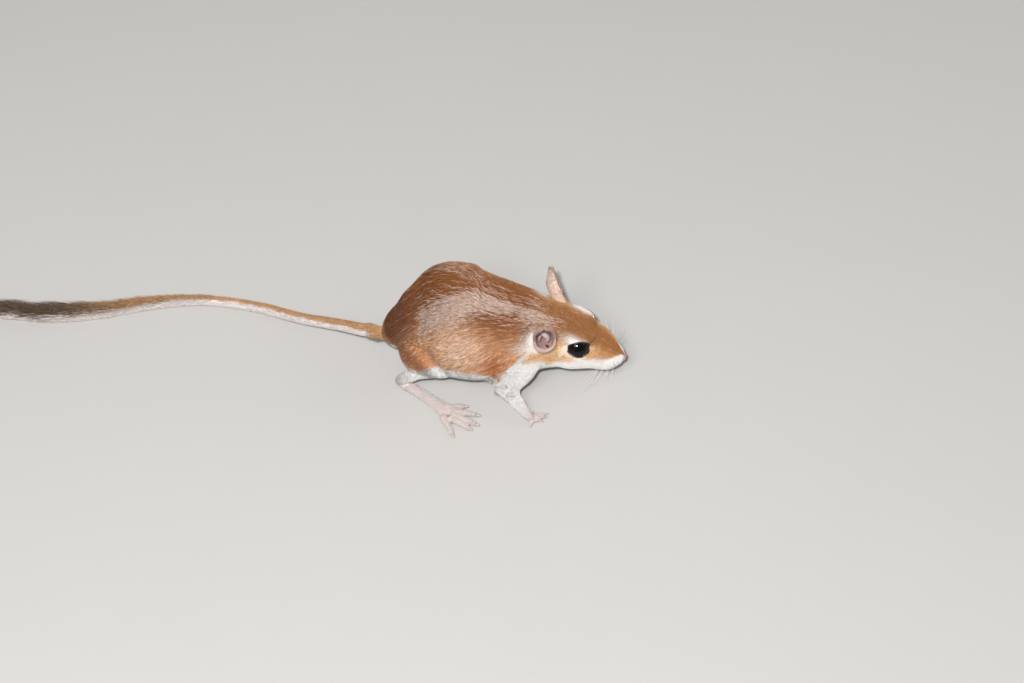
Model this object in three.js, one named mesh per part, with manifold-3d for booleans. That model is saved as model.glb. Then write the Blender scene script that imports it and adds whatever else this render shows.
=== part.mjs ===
// A gerbil standing low on all four feet with its long tail trailing on the ground, life size.
// Millimetres, +Z up, +X towards the head, +Y the animal's left.
// Trunk, limbs, toes, ears and tail are bodies swept along curves. They are joined, parted by thin cuts
// into named pieces and trimmed to small flats where they touch the ground.
import * as THREE from "three";
import { mergeVertices } from "three/addons/utils/BufferGeometryUtils.js";
import Module from "manifold-3d";

const wasm = await Module();
wasm.setup();

// Driving dimensions
const gap = 0.3; // between pieces that meet
const noseHeight = 7.2;
const headYaw = -12; // degrees, turned to the animal's right
const headDip = 18;
const headRoll = -1;
const eyeRadius = 3.8;
const eyeSpacing = 10.1;
const lidRadius = 0.36;
const lidHalfLength = 4.0;
const earLength = 13.1;
const earHalfWidth = 3.3;
const earWall = 0.65;
const toeRadius = 0.95;
const fingerRadius = 0.6;
const clawLength = 1.5;
const tailScale = 1; // thickness of the tail
const tuftLocks = 30;
const lockLength = 12;
const lockHalfWidth = 0.95;
const lockHalfThickness = 0.38;

const point = (x, y, z) => new THREE.Vector3(x, y, z);
const up = point(0, 0, 1);
const ahead = point(1, 0, 0);
const radians = THREE.MathUtils.degToRad;
const mix = THREE.MathUtils.lerp;
const sides = [-1, 1]; // the animal's right, then its left
const sideNames = ["right", "left"];

// Head frame: origin at the nose tip, x forward, y to the animal's left, z up
const noseTip = point(34.6, -2.9, noseHeight);
const headTurn = new THREE.Euler(radians(headRoll), radians(headDip), radians(headYaw), "ZYX");
const headFrame = new THREE.Matrix4().makeRotationFromEuler(headTurn).setPosition(noseTip);
const onHead = (x, y, z) => point(x, y, z).applyMatrix4(headFrame);
const headWay = (x, y, z) => point(x, y, z).transformDirection(headFrame);

// A closed three.js geometry as a solid that can be joined and cut
function solid(geometry) {
  const bare = geometry.clone();
  bare.deleteAttribute("normal");
  bare.deleteAttribute("uv");
  const merged = mergeVertices(bare, 1e-4);
  return new wasm.Manifold(
    new wasm.Mesh({
      numProp: 3,
      vertProperties: merged.getAttribute("position").array,
      triVerts: new Uint32Array(merged.index.array),
    }),
  );
}

// The largest closed surface of a solid, as a three.js geometry
function geometryOf(body) {
  const [largest] = body.decompose().sort((a, b) => b.volume() - a.volume());
  const mesh = largest.getMesh();
  return new THREE.BufferGeometry()
    .setAttribute("position", new THREE.BufferAttribute(mesh.vertProperties, 3))
    .setIndex(new THREE.BufferAttribute(mesh.triVerts, 1));
}

const join = (bodies) => bodies.reduce((all, body) => all.add(body));
const cutAway = (body, cutters) => cutters.reduce((left, cutter) => left.subtract(cutter), body);
const smoothLine = (points) => new THREE.CatmullRomCurve3(points, false, "catmullrom", 0.5);
const sizeLine = (triples) => smoothLine(triples.map((triple) => point(...triple)));
const roundSizes = (radii) => sizeLine(radii.map((r) => [r, r, r]));

// The part of a body on the side that way points to, from a plane through the place
const keepSide = (body, place, way) => body.trimByPlane(way.toArray(), place.dot(way) + gap / 2);

// Height of a soft lump at p: full at its centre, fading over its radii
function lumpAt({ centre, radii, height }, p) {
  const away = p.clone().sub(centre).divide(radii);
  return height * Math.exp(-away.lengthSq());
}

// The rings of a sphere carried along a line, each stretched to the half width and the heights above
// and below found there, and drawn in to a rounded end over endLength, a share of the line
function sweep(line, sizes, options = {}) {
  const { around = 10, rings = 8, endLength = [0.12, 0.12], lumps = [], upright = up } = options;
  const body = new THREE.SphereGeometry(1, around, rings);
  const place = body.getAttribute("position");
  for (let i = 0; i < place.count; i += 1) {
    const polar = Math.acos(THREE.MathUtils.clamp(place.getY(i), -1, 1)) / Math.PI;
    const t = polar - Math.sin(2 * Math.PI * polar) / 24;
    const round = Math.hypot(place.getX(i), place.getZ(i)) || 1;
    const centre = line.getPoint(t);
    const along = line.getTangent(t);
    const left = upright.clone().cross(along).normalize();
    const top = along.clone().cross(left);
    const size = sizes.getPoint(t);
    const start = Math.sqrt(1 - (1 - Math.min(t / endLength[0], 1)) ** 2);
    const finish = Math.sqrt(1 - (1 - Math.min((1 - t) / endLength[1], 1)) ** 2);
    const across = (place.getX(i) / round) * size.x * start * finish;
    const height = (place.getZ(i) / round) * (place.getZ(i) > 0 ? size.y : size.z) * start * finish;
    const p = centre.clone().addScaledVector(left, across).addScaledVector(top, height);
    const out = p.clone().sub(centre).normalize();
    const rise = lumps.reduce((sum, each) => sum + lumpAt(each, p), 0);
    p.addScaledVector(out, rise * start * finish);
    place.setXYZ(i, p.x, p.y, p.z);
  }
  return solid(body);
}

// An ellipsoid whose first radius lies along a direction and whose last is nearest to upright
function ellipsoid(centre, radii, way = ahead, upright = up, detail = [12, 8]) {
  const left = upright.clone().cross(way).normalize();
  const top = way.clone().cross(left).normalize();
  const turn = new THREE.Matrix4().makeBasis(way.clone().normalize(), left, top);
  const body = new THREE.SphereGeometry(1, ...detail);
  body.rotateX(Math.PI / 2);
  body.scale(radii.x, radii.y, radii.z);
  body.applyMatrix4(turn.setPosition(centre));
  return solid(body);
}
const ball = (centre, radius) => ellipsoid(centre, point(radius, radius, radius), ahead, up, [10, 6]);

// Trunk: stations from the tail root to the nose, each with half width and heights above and below
const trunkStations = [
  { at: point(-39.2, 6.6, 9.6), size: [4.6, 3.6, 4.8] },
  { at: point(-36.4, 6.0, 10.8), size: [6.6, 5.8, 7.2] },
  { at: point(-32.4, 5.3, 13.1), size: [9.4, 8.8, 10.2] },
  { at: point(-27.2, 4.7, 15.7), size: [13.3, 13.6, 12.8] },
  { at: point(-21.8, 4.4, 17.2), size: [17.2, 18.5, 14.7] },
  { at: point(-16.4, 4.1, 17.4), size: [18.8, 19.1, 14.9] },
  { at: point(-11.0, 3.6, 16.5), size: [17.6, 15.2, 14.3] },
  { at: point(-2.0, 3.0, 15.4), size: [15.9, 13.5, 12.8] },
  { at: point(7.2, 2.3, 14.7), size: [13.4, 11.4, 11.6] },
  { at: onHead(-21.2, 0, 0.9), size: [11.6, 8.8, 9.8] },
  { at: onHead(-16.0, 0, 0.9), size: [10.2, 7.7, 8.6] },
  { at: onHead(-11.4, 0, 0.6), size: [8.4, 6.8, 7.2] },
  { at: onHead(-7.3, 0, 0.2), size: [6.6, 5.4, 5.9] },
  { at: onHead(-3.9, 0, 0), size: [4.9, 4.1, 4.4] },
  { at: onHead(-1.3, 0, 0), size: [3.0, 2.7, 2.7] },
  { at: onHead(0, 0, 0), size: [1.8, 1.6, 1.6] },
];
const lump = (centre, radii, height) => ({ centre, radii, height });
const trunkLumps = sides.flatMap((side) => [
  lump(onHead(-15, side * 8.5, -3.5), point(5, 4, 4), 0.8), // cheek
  lump(onHead(-4.4, side * 3.6, -1.2), point(3, 3, 2.4), 0.9), // whisker pad
  lump(onHead(-14.8, side * 6.8, 5.8), point(5, 3.4, 3.4), 0.8), // around the eye
  lump(point(-9.5, 3.6 + side * 15, 6.5), point(13, 8, 8), 2.4), // fold of the belly
]);
const trunkLine = smoothLine(trunkStations.map((station) => station.at));
const trunk = sweep(trunkLine, sizeLine(trunkStations.map((station) => station.size)), {
  around: 24,
  rings: 38,
  endLength: [0.04, 0.03],
  lumps: trunkLumps,
});

// A point on the near side carried across an upright plane through the body's middle; share shortens
// its distance from that plane and stride moves it forward
function across(p, middle, share, stride) {
  const away = p.clone().sub(middle.at).dot(middle.normal);
  const carried = p.clone().addScaledVector(middle.normal, -away * (1 + share));
  return carried.add(point(stride, 0, 0));
}
const middleAt = (x, y, degrees) => ({
  at: point(x, y, 0),
  normal: point(Math.sin(radians(degrees)), Math.cos(radians(degrees)), 0),
});
const hips = middleAt(-17.8, 4.4, 9);
const shoulders = middleAt(4, 2.9, 8);

// A toe or finger from root to tip with an arched back, and a claw at its end
function digit([root, tip], radius, arch, around) {
  const knuckle = root.clone().lerp(tip, 0.55).add(point(0, 0, arch));
  const way = tip.clone().sub(knuckle).setZ(0).normalize();
  const radii = roundSizes([radius * 1.25, radius, radius * 0.8]);
  const toe = sweep(smoothLine([root, knuckle, tip]), radii, { around, rings: 5 });
  const clawLine = smoothLine([
    tip.clone().addScaledVector(way, -0.6),
    tip.clone().addScaledVector(way, clawLength * 0.5).add(point(0, 0, 0.25)),
    tip.clone().addScaledVector(way, clawLength).add(point(0, 0, -0.35)),
  ]);
  const claw = sweep(clawLine, roundSizes([radius * 0.6, radius * 0.45, 0.14]), { around: 4, rings: 4 });
  return toe.add(claw);
}

// Hind limb: thigh, shank from knee to hock, long flat foot and five toes
function hindLimb(side) {
  const place = (x, y, z) => (side < 0 ? point(x, y, z) : across(point(x, y, z), hips, 0.86, 2.5));
  const hock = place(-33.2, -8.4, 4.4);
  const heel = place(-35.2, -7.8, 1.9);
  const shankLine = smoothLine([place(-17, -7.6, 9.6), place(-26, -7.8, 7.4), hock, heel]);
  const shankSizes = [[4.4, 5, 4], [3.1, 3.8, 3.1], [1.9, 2.1, 1.9], [1.5, 1.3, 1.4]];
  const shank = sweep(shankLine, sizeLine(shankSizes));
  const soleLine = [heel, place(-28.9, -11.4, 1.4), place(-23.4, -15.8, 1.2), place(-19.2, -19.4, 1.0)];
  const soleSizes = [[1.6, 1.4, 1.6], [1.8, 1.4, 1.6], [2.2, 1.2, 1.4], [3.0, 0.9, 1.2]];
  const sole = sweep(smoothLine(soleLine), sizeLine(soleSizes));
  const toes = [
    [place(-20.6, -17.4, 1.1), place(-14.2, -16.6, 0.6)],
    [place(-19.6, -18.6, 1.2), place(-10.6, -19.9, 0.6)],
    [place(-19.2, -19.9, 1.2), place(-10.8, -23.4, 0.6)],
    [place(-19.6, -21.0, 1.2), place(-13.0, -25.0, 0.6)],
    [place(-21.6, -20.2, 1.1), place(-18.2, -27.4, 0.6)],
  ].map((ends) => digit(ends, toeRadius, 0.45, 6));
  return {
    side,
    shankLine,
    shank,
    thigh: ellipsoid(place(-25, -3.2, 12.3), point(10.5, 8.8, 9.8)),
    foot: join([sole, ...toes]),
    ankle: place(-33.2, -8.4, 3.3),
    ankleWay: place(0.2, 0.3, 0.93).sub(place(0, 0, 0)).normalize(),
  };
}

// Foreleg: upper arm and forearm, small hand with four fingers and a thumb
function foreLimb(side) {
  const place = (x, y, z) => (side < 0 ? point(x, y, z) : across(point(x, y, z), shoulders, 0.66, -1.5));
  const shoulder = place(3.9, -8.6, 10.6);
  const elbow = place(-2.2, -12.6, 8.4);
  const wrist = place(4.6, -21.0, 2.7);
  const upperArm = (grow) => {
    const radii = point(9 + grow, 5.6 + grow, 6 + grow);
    return ellipsoid(shoulder.clone().lerp(elbow, 0.45), radii, elbow.clone().sub(shoulder));
  };
  const armPoints = [elbow, place(-0.8, -15.4, 7.1), place(1.3, -17.8, 5.4), wrist, place(6.6, -21, 1.5)];
  const armLine = smoothLine(armPoints);
  const armSizes = [[4.8, 4.6, 4.6], [3.9, 3.7, 3.7], [2.8, 2.6, 2.5], [1.7, 1.6, 1.5], [1.5, 0.9, 1.0]];
  const palm = ellipsoid(place(6.6, -21.0, 0.9), point(2.3, 1.7, 1.15), ahead, up, [8, 6]);
  const fingers = [
    [place(7.3, -20.0, 0.95), place(10.6, -19.2, 0.4)],
    [place(7.4, -20.6, 1.0), place(10.2, -20.5, 0.4)],
    [place(7.1, -21.3, 1.0), place(9.0, -21.9, 0.4)],
    [place(6.0, -21.9, 0.95), place(5.8, -23.6, 0.4)],
    [place(5.6, -20.1, 0.9), place(6.4, -18.9, 0.4)],
  ].map((ends) => digit(ends, fingerRadius, 0.25, 5));
  return {
    upperArm,
    elbow,
    wrist,
    forearm: sweep(armLine, sizeLine(armSizes)),
    hand: join([palm, ...fingers]),
    wristWay: armLine.getTangent(0.75),
  };
}

const hindLimbs = sides.map(hindLimb);
const foreLimbs = sides.map(foreLimb);
const flesh = join([
  trunk,
  ...hindLimbs.flatMap((limb) => [limb.thigh, limb.shank]),
  ...foreLimbs.flatMap((limb) => [limb.upperArm(0), limb.forearm]),
]);

// Regions that part the legs from the trunk, each also grown by the gap
function hindRegion(limb, grow) {
  const centre = limb.shankLine.getPoint(0.12).add(point(-3.5, limb.side * 1.8, 4));
  const radii = point(13.5 + grow, 10 + grow, 13 + grow);
  const calf = ball(limb.shankLine.getPoint(0.35), 6.5 + grow);
  const ankle = ball(limb.shankLine.getPoint(0.62), 4.5 + grow);
  return join([ellipsoid(centre, radii, point(1, 0, 0.25)), calf, ankle]);
}
function foreRegion(limb, grow) {
  const forearmMiddle = limb.elbow.clone().lerp(limb.wrist, 0.6);
  return join([limb.upperArm(0.9 + grow), ball(limb.elbow, 6.2 + grow), ball(forearmMiddle, 4.6 + grow)]);
}

// Eyes: a ball in a socket, with a lens-shaped opening edged by a rounded lid
function eyeParts(side) {
  const centre = onHead(-15.9, (side * eyeSpacing) / 2, 4.0);
  const outward = headWay(0.27, side * 0.76, 0.59);
  const forward = headWay(1, 0, 0.12).projectOnPlane(outward).normalize();
  const lidUp = outward.clone().cross(forward).multiplyScalar(side).normalize();
  const lidPoints = Array.from({ length: 16 }, (_, i) => {
    const turn = (i / 16) * 2 * Math.PI;
    const corner = Math.abs(Math.cos(turn)) ** 3;
    return centre
      .clone()
      .addScaledVector(forward, Math.cos(turn) * lidHalfLength - 0.2)
      .addScaledVector(lidUp, Math.sin(turn) * mix(2.95, 2.5, corner))
      .addScaledVector(outward, mix(3.4, 2.8, corner));
  });
  const lidLine = new THREE.CatmullRomCurve3(lidPoints, true);
  const front = centre.clone().addScaledVector(outward, 3.2).addScaledVector(forward, -0.2);
  const eyeBall = (radius) => ellipsoid(centre, point(radius, radius, radius), outward, lidUp, [14, 8]);
  return {
    lid: solid(new THREE.TubeGeometry(lidLine, 20, lidRadius, 5, true)),
    surround: ellipsoid(centre, point(4.25, 5.1, 4.6), outward, lidUp),
    opening: ellipsoid(front, point(2.9, 2.5, 3.75), outward, forward, [12, 6]),
    eye: eyeBall(eyeRadius),
    socket: eyeBall(eyeRadius + gap),
  };
}

// Ears: an upright cup whose outer body is hollowed by one set nearer its opening, with a fold inside.
// The right ear opens sideways, the left one forwards.
const earPoses = [
  { root: onHead(-25.1, -9.4, 3.4), way: headWay(-0.37, -0.08, 0.93), open: headWay(0.32, -0.92, 0.05) },
  { root: onHead(-23.8, 8.6, 5.2), way: headWay(-0.6, 0.47, 0.64), open: headWay(0.8, 0.44, 0.37) },
];
function earParts({ root, way, open }) {
  const front = open.clone().projectOnPlane(way).normalize();
  const at = (share, forward) =>
    root.clone().addScaledVector(way, (share - 0.12) * earLength).addScaledVector(front, forward);
  const widths = [2.3, earHalfWidth * 0.93, earHalfWidth, 2.1];
  const depths = [2.2, 2.7, 2.3, 1.3];
  const outerLine = smoothLine([at(0, 0.3), at(0.3, -0.1), at(0.65, -0.35), at(1, 0.2)]);
  const innerLine = smoothLine([at(0.16, 0.4), at(0.36, 0), at(0.65, -0.25), at(0.94, 0.2)]);
  const outerSizes = (grow) => sizeLine(widths.map((w, i) => [w + grow, 0.9 + grow, depths[i] + grow]));
  const innerSizes = sizeLine(widths.map((w, i) => [w - earWall, 3.4, depths[i] - earWall]));
  const options = { around: 12, rings: 8, upright: front, endLength: [0.2, 0.3] };
  const outer = (grow) => sweep(outerLine, outerSizes(grow), options);
  const foldLine = smoothLine([at(0.18, -1.1), at(0.36, -1.8), at(0.56, -2.1)]);
  const foldSizes = sizeLine([[1.1, 1, 0.8], [0.8, 0.9, 0.8], [0.5, 0.5, 0.5]]);
  const fold = sweep(foldLine, foldSizes, { around: 6, rings: 6, upright: front, endLength: [0.3, 0.4] });
  return { ear: outer(0).subtract(sweep(innerLine, innerSizes, options)).add(fold), pit: outer(gap) };
}

// Tail: from the rump down to the ground and along it
const tailLine = smoothLine([
  point(-37.5, 5.6, 8.8),
  point(-45.5, 7.4, 8.2),
  point(-54, 11.0, 6.2),
  point(-66, 15.8, 3.2),
  point(-80, 21.4, 1.6),
  point(-96, 24.0, 1.45),
  point(-112, 22.5, 1.4),
  point(-128, 18.9, 1.35),
  point(-142, 17.4, 1.3),
  point(-158, 18.6, 1.2),
  point(-170, 20.2, 1.0),
]);
const tailRadii = [2.3, 2.1, 1.95, 1.85, 1.8, 1.7, 1.65, 1.55, 1.5, 1.3, 0.9];
function tailShape(grow) {
  const radii = roundSizes(tailRadii.map((radius) => radius * tailScale + grow));
  return sweep(tailLine, radii, { rings: 34, endLength: [0.01, 0.03] });
}
const tail = tailShape(0);
const cutAt = (t) => ({ place: tailLine.getPoint(t), way: tailLine.getTangent(t) });
const tailCuts = [0.34, 0.52, 0.64].map(cutAt);

// The same row of numbers from 0 to 1 every time
function seededRandom(seed) {
  let state = seed;
  return () => {
    state = (state * 1103515245 + 12345) % 2147483648;
    return state / 2147483648;
  };
}

// A lock of the tail's tuft: a flat tapered blade rooted in the tail, leaning out and bending back.
// Those on the upper side stand further off.
function tuftLock(place, turn, length) {
  const t = mix(0.65, 0.97, place);
  const centre = tailLine.getPoint(t);
  const along = tailLine.getTangent(t);
  const left = up.clone().cross(along).normalize();
  const top = along.clone().cross(left);
  const outward = left.multiplyScalar(Math.cos(turn)).addScaledVector(top, Math.sin(turn));
  const root = mix(1.5, 0.8, place ** 3) * tailScale - 0.6;
  const lift = mix(1.5, 2.8, Math.max(Math.sin(turn), 0));
  const at = (forward, rise) =>
    centre.clone().addScaledVector(along, forward * length).addScaledVector(outward, root + rise * lift);
  const line = smoothLine([at(0, 0), at(0.35, 0.6), at(0.7, 0.95), at(1, 1)]);
  const blade = [lockHalfWidth, lockHalfThickness, lockHalfThickness];
  const sizes = sizeLine([0.8, 1, 0.75, 0.2].map((share) => blade.map((size) => size * share)));
  return sweep(line, sizes, { around: 4, rings: 5, upright: outward, endLength: [0.1, 0.06] });
}
const random = seededRandom(17);
const locks = Array.from({ length: tuftLocks }, (_, i) => {
  const turn = radians(-15 + ((i * 137.5) % 210));
  return tuftLock((i + 0.5) / tuftLocks, turn, lockLength * mix(0.8, 1.1, random()));
});

// Nose, mouth and chin
const nosePad = ellipsoid(onHead(-0.6, 0, 0.6), point(1.0, 1.45, 1.05), headWay(1, 0, 0));
const chin = ellipsoid(onHead(-6.4, 0, -3.0), point(3.6, 2.5, 1.9), headWay(1, 0, -0.1));
const nostrils = sides.map((side) => {
  const way = headWay(1, side * 0.5, 0);
  return ellipsoid(onHead(0.35, side * 0.85, 0.5), point(0.7, 0.3, 0.42), way, up, [8, 6]);
});
const mouth = sides.map((side) => {
  const corner = onHead(-7.6, side * 4.4, -4.1);
  const line = smoothLine([onHead(-0.5, 0, -1.6), onHead(-3.2, side * 2.5, -3.3), corner]);
  return sweep(line, roundSizes([0.45, 0.55, 0.3]), { around: 6, rings: 7 });
});
const philtrumLine = smoothLine([onHead(0.85, 0, 0.3), onHead(0.5, 0, -0.8), onHead(-0.5, 0, -1.8)]);
const philtrumOptions = { around: 6, rings: 6, upright: point(0, 1, 0) };
const philtrum = sweep(philtrumLine, roundSizes([0.2, 0.28, 0.3]), philtrumOptions);

// Parting the body
const eyes = sides.map(eyeParts);
const ears = earPoses.map(earParts);
const bodyWay = trunkLine.getTangent(0.5).setZ(0).normalize();
const backward = bodyWay.clone().negate();
const neckBack = point(3.6, 3, 0);
const neckFront = point(8.6, 3, 0);
const hindRoom = hindLimbs.map((limb) => hindRegion(limb, gap));
const foreRoom = foreLimbs.map((limb) => foreRegion(limb, gap));
const earRoom = ears.map((ear) => ear.pit);
const legs = hindLimbs.map((limb) => flesh.intersect(hindRegion(limb, 0)));
const arms = foreLimbs.map((limb) => cutAway(flesh.intersect(foreRegion(limb, 0)), hindRoom));
const hull = cutAway(flesh, [...hindRoom, ...foreRoom, ...earRoom, tailShape(gap)]);
const torso = keepSide(hull, neckBack, backward);
const neck = keepSide(keepSide(hull, neckBack, bodyWay), neckFront, backward);
const ofEyes = (name) => eyes.map((eye) => eye[name]);
const skull = join([keepSide(trunk, neckFront, bodyWay), nosePad, chin, ...ofEyes("surround")]);
const face = cutAway(skull, [...foreRoom, ...ofEyes("opening"), ...nostrils, ...mouth, philtrum]);
const head = cutAway(join([face, ...ofEyes("lid")]), [...ofEyes("socket"), ...earRoom]);

const gerbil = new THREE.Group();
const ground = point(0, 0, -gap / 2);
function addPiece(name, body, colour, roughness) {
  const material = new THREE.MeshStandardMaterial({ color: colour, roughness, metalness: 0 });
  const mesh = new THREE.Mesh(geometryOf(keepSide(body, ground, up)), material);
  mesh.name = name;
  gerbil.add(mesh);
}
addPiece("torso", torso, 0xc8864f, 0.8);
addPiece("neck", neck, 0xc8864f, 0.8);
addPiece("head", head, 0xc98f5c, 0.8);
sideNames.forEach((name, i) => {
  const { ankle, ankleWay, foot, shank } = hindLimbs[i];
  const { wrist, wristWay, hand, forearm } = foreLimbs[i];
  addPiece(`eye_${name}`, eyes[i].eye, 0x120c0a, 0.08);
  addPiece(`ear_${name}`, ears[i].ear, 0xc99a92, 0.6);
  addPiece(`hind_leg_${name}`, keepSide(legs[i], ankle, ankleWay), 0xcb8b55, 0.8);
  const [belowAnkle, aboveWrist] = [ankleWay, wristWay].map((way) => way.clone().negate());
  addPiece(`hind_foot_${name}`, keepSide(foot.add(shank), ankle, belowAnkle), 0xe3cbc2, 0.65);
  addPiece(`foreleg_${name}`, keepSide(arms[i], wrist, aboveWrist), 0xeae2da, 0.8);
  addPiece(`forefoot_${name}`, keepSide(hand.add(forearm), wrist, wristWay), 0xe3cbc2, 0.65);
});
const [first, second, third] = tailCuts;
const tailBefore = (body, cut) => keepSide(body, cut.place, cut.way.clone().negate());
addPiece("tail_base", tailBefore(tail, first), 0xd0996c, 0.75);
addPiece("tail_middle", tailBefore(keepSide(tail, first.place, first.way), second), 0xd0996c, 0.75);
addPiece("tail_end", tailBefore(keepSide(tail, second.place, second.way), third), 0xd0996c, 0.75);
addPiece("tail_tuft", join([keepSide(tail, third.place, third.way), ...locks]), 0x7d6a60, 0.8);

// The origin moves to the middle of the whole box, at ground level
const box = new THREE.Box3().setFromObject(gerbil);
const middle = box.getCenter(point(0, 0, 0)).setZ(box.min.z);
gerbil.children.forEach((mesh) => mesh.geometry.translate(-middle.x, -middle.y, -middle.z));

export default gerbil;
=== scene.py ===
# A gerbil standing low on all four feet, its long tufted tail along the ground, life size.
# Shapes are worked out in millimetres in a pose frame, +X the way it faces, +Y its left, +Z up,
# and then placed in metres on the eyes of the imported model.
import math

import bmesh
import bpy
import numpy as np
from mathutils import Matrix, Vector


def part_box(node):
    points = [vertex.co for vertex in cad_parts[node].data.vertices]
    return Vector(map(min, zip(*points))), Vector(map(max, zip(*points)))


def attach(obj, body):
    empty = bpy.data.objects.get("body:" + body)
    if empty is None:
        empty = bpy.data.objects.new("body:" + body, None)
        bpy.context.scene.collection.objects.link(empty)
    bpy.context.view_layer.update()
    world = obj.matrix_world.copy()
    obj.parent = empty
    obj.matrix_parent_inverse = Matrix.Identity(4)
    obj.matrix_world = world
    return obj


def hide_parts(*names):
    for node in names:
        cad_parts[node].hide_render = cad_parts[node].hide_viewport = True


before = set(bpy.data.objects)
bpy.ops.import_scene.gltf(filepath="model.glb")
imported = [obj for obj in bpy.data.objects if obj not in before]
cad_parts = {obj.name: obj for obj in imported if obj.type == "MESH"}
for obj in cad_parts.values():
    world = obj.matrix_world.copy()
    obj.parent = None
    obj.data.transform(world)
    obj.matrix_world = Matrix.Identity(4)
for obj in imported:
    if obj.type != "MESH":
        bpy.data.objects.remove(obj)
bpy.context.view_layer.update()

up = np.array([0.0, 0.0, 1.0])
sides = (-1, 1)  # the animal's right, then its left
sideNames = {-1: "right", 1: "left"}


# Numbers and lines

def unit(v):
    return v / np.maximum(np.linalg.norm(v, axis=-1, keepdims=True), 1e-12)


# An eased step from 0 at low to 1 at high: 3 s ** 2 - 2 s ** 3
def smoothStep(low, high, x):
    share = np.clip((x - low) / (high - low), 0, 1)
    return share * share * (3 - 2 * share)


# The first value where the share is 0, the second where it is 1
def blendOf(a, b, share):
    share = np.asarray(share)[..., None]
    return np.asarray(a) * (1 - share) + np.asarray(b) * share


def bell(x, centre, width):
    return np.exp(-(((x - centre) / width) ** 2))


# A soft wandering field between about -1 and 1: eight sine waves in seeded directions, added up
def ripple(points, size, seed):
    random = np.random.default_rng(seed)
    ways = unit(random.normal(size=(8, 3)))
    turns = 2 * np.pi / size * random.uniform(0.6, 1.6, 8)
    return np.sin(points @ (ways.T * turns) + random.uniform(0, 2 * np.pi, 8)).sum(-1) / 3


streakWaves = 240


# Streaks along a lie: many fine sine waves, each counted as exp(-(its turns along the lie * reach) ** 2 / 2)
def streaks(points, way, size, reach, seed):
    random = np.random.default_rng(seed)
    waves = unit(random.normal(size=(streakWaves, 3)))
    waves = waves * (2 * np.pi / size * random.uniform(0.6, 1.5, streakWaves))[:, None]
    weight = np.exp(-((way @ waves.T * reach) ** 2) / 2)
    total = (np.sin(points @ waves.T + random.uniform(0, 2 * np.pi, streakWaves)) * weight).sum(-1)
    return total / np.sqrt((weight**2).sum(-1) / 2 + 0.2)


# A smooth line through knots: cubic pieces whose slope at each knot is half the step over it
def lineAt(knots, t):
    p = np.asarray(knots, float)
    p = np.vstack([2 * p[0] - p[1], p, 2 * p[-1] - p[-2]])
    s = np.clip(np.asarray(t, float), 0, 1) * (len(p) - 3)
    i = np.minimum(s.astype(int), len(p) - 4)
    f = (s - i)[..., None]
    a, b, c, d = (p[i + k] for k in range(4))
    return 0.5 * (2 * b + (c - a) * f + (2 * a - 5 * b + 4 * c - d) * f**2 + (3 * b - a - 3 * c + d) * f**3)


# Directions at a share of a line: along it, to its left and towards its top
def frameAt(knots, t, upright=up):
    t = np.asarray(t, float)
    along = unit(lineAt(knots, np.minimum(t + 1e-3, 1)) - lineAt(knots, np.maximum(t - 1e-3, 0)))
    left = unit(np.cross(upright, along))
    return along, left, np.cross(along, left)


# A closed body carried along a line: centre + left * half width * cos(turn) + top * height * sin(turn),
# with the height above or below by the sign of the sine, drawn in at both ends by a quarter circle
def sweep(knots, sizes, across=20, rings=30, ends=(0.12, 0.12), upright=up,
          inset=0.0, lumps=(), least=0.12):
    v = np.linspace(0, 1, rings + 1)
    t = v - 0.85 * np.sin(2 * np.pi * v) / (2 * np.pi)  # rings closer together at the ends
    turn = np.linspace(0, 2 * np.pi, across, endpoint=False)
    left, top = (axis[:, None] for axis in frameAt(knots, t, upright)[1:])
    drawnIn = np.interp(t, np.linspace(0, 1, np.size(inset)), np.ravel(inset))[:, None]
    size = np.maximum(lineAt(sizes, t) - drawnIn, least)
    start = np.sqrt(1 - (1 - np.minimum(t / ends[0], 1)) ** 2)
    finish = np.sqrt(1 - (1 - np.minimum((1 - t) / ends[1], 1)) ** 2)
    taper = (start * finish)[:, None]
    wide = np.cos(turn) * size[:, :1] * taper
    high = np.sin(turn) * np.where(np.sin(turn) > 0, size[:, 1:2], size[:, 2:3]) * taper
    centre = lineAt(knots, t)[:, None]
    points = centre + left * wide[..., None] + top * high[..., None]
    out = unit(points - centre)
    for lump in lumps:
        away = (points - lump["centre"]) / lump["radii"]
        rise = lump["height"] * np.exp(-(away**2).sum(-1)) * taper
        points = points + out * rise[..., None]
    middle = points[1:-1].reshape(-1, 3)
    whole = np.vstack([middle, lineAt(knots, t[:1]), lineAt(knots, t[-1:])])
    return whole, tubeFaces(rings - 1, across)


# Faces of a tube of rings of equal count, closed by a fan to one pole point at each end
def tubeFaces(ringCount, across):
    ring = np.arange(ringCount - 1)[:, None] * across
    j = np.arange(across)
    k = (j + 1) % across
    quads = np.stack([ring + j, ring + k, ring + across + k, ring + across + j], -1).reshape(-1, 4)
    first, last = ringCount * across, ringCount * across + 1
    top = (ringCount - 1) * across
    startFan = np.stack([k, j, np.full(across, first)], -1)
    endFan = np.stack([top + j, top + k, np.full(across, last)], -1)
    return [quads, np.vstack([startFan, endFan])]


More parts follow.
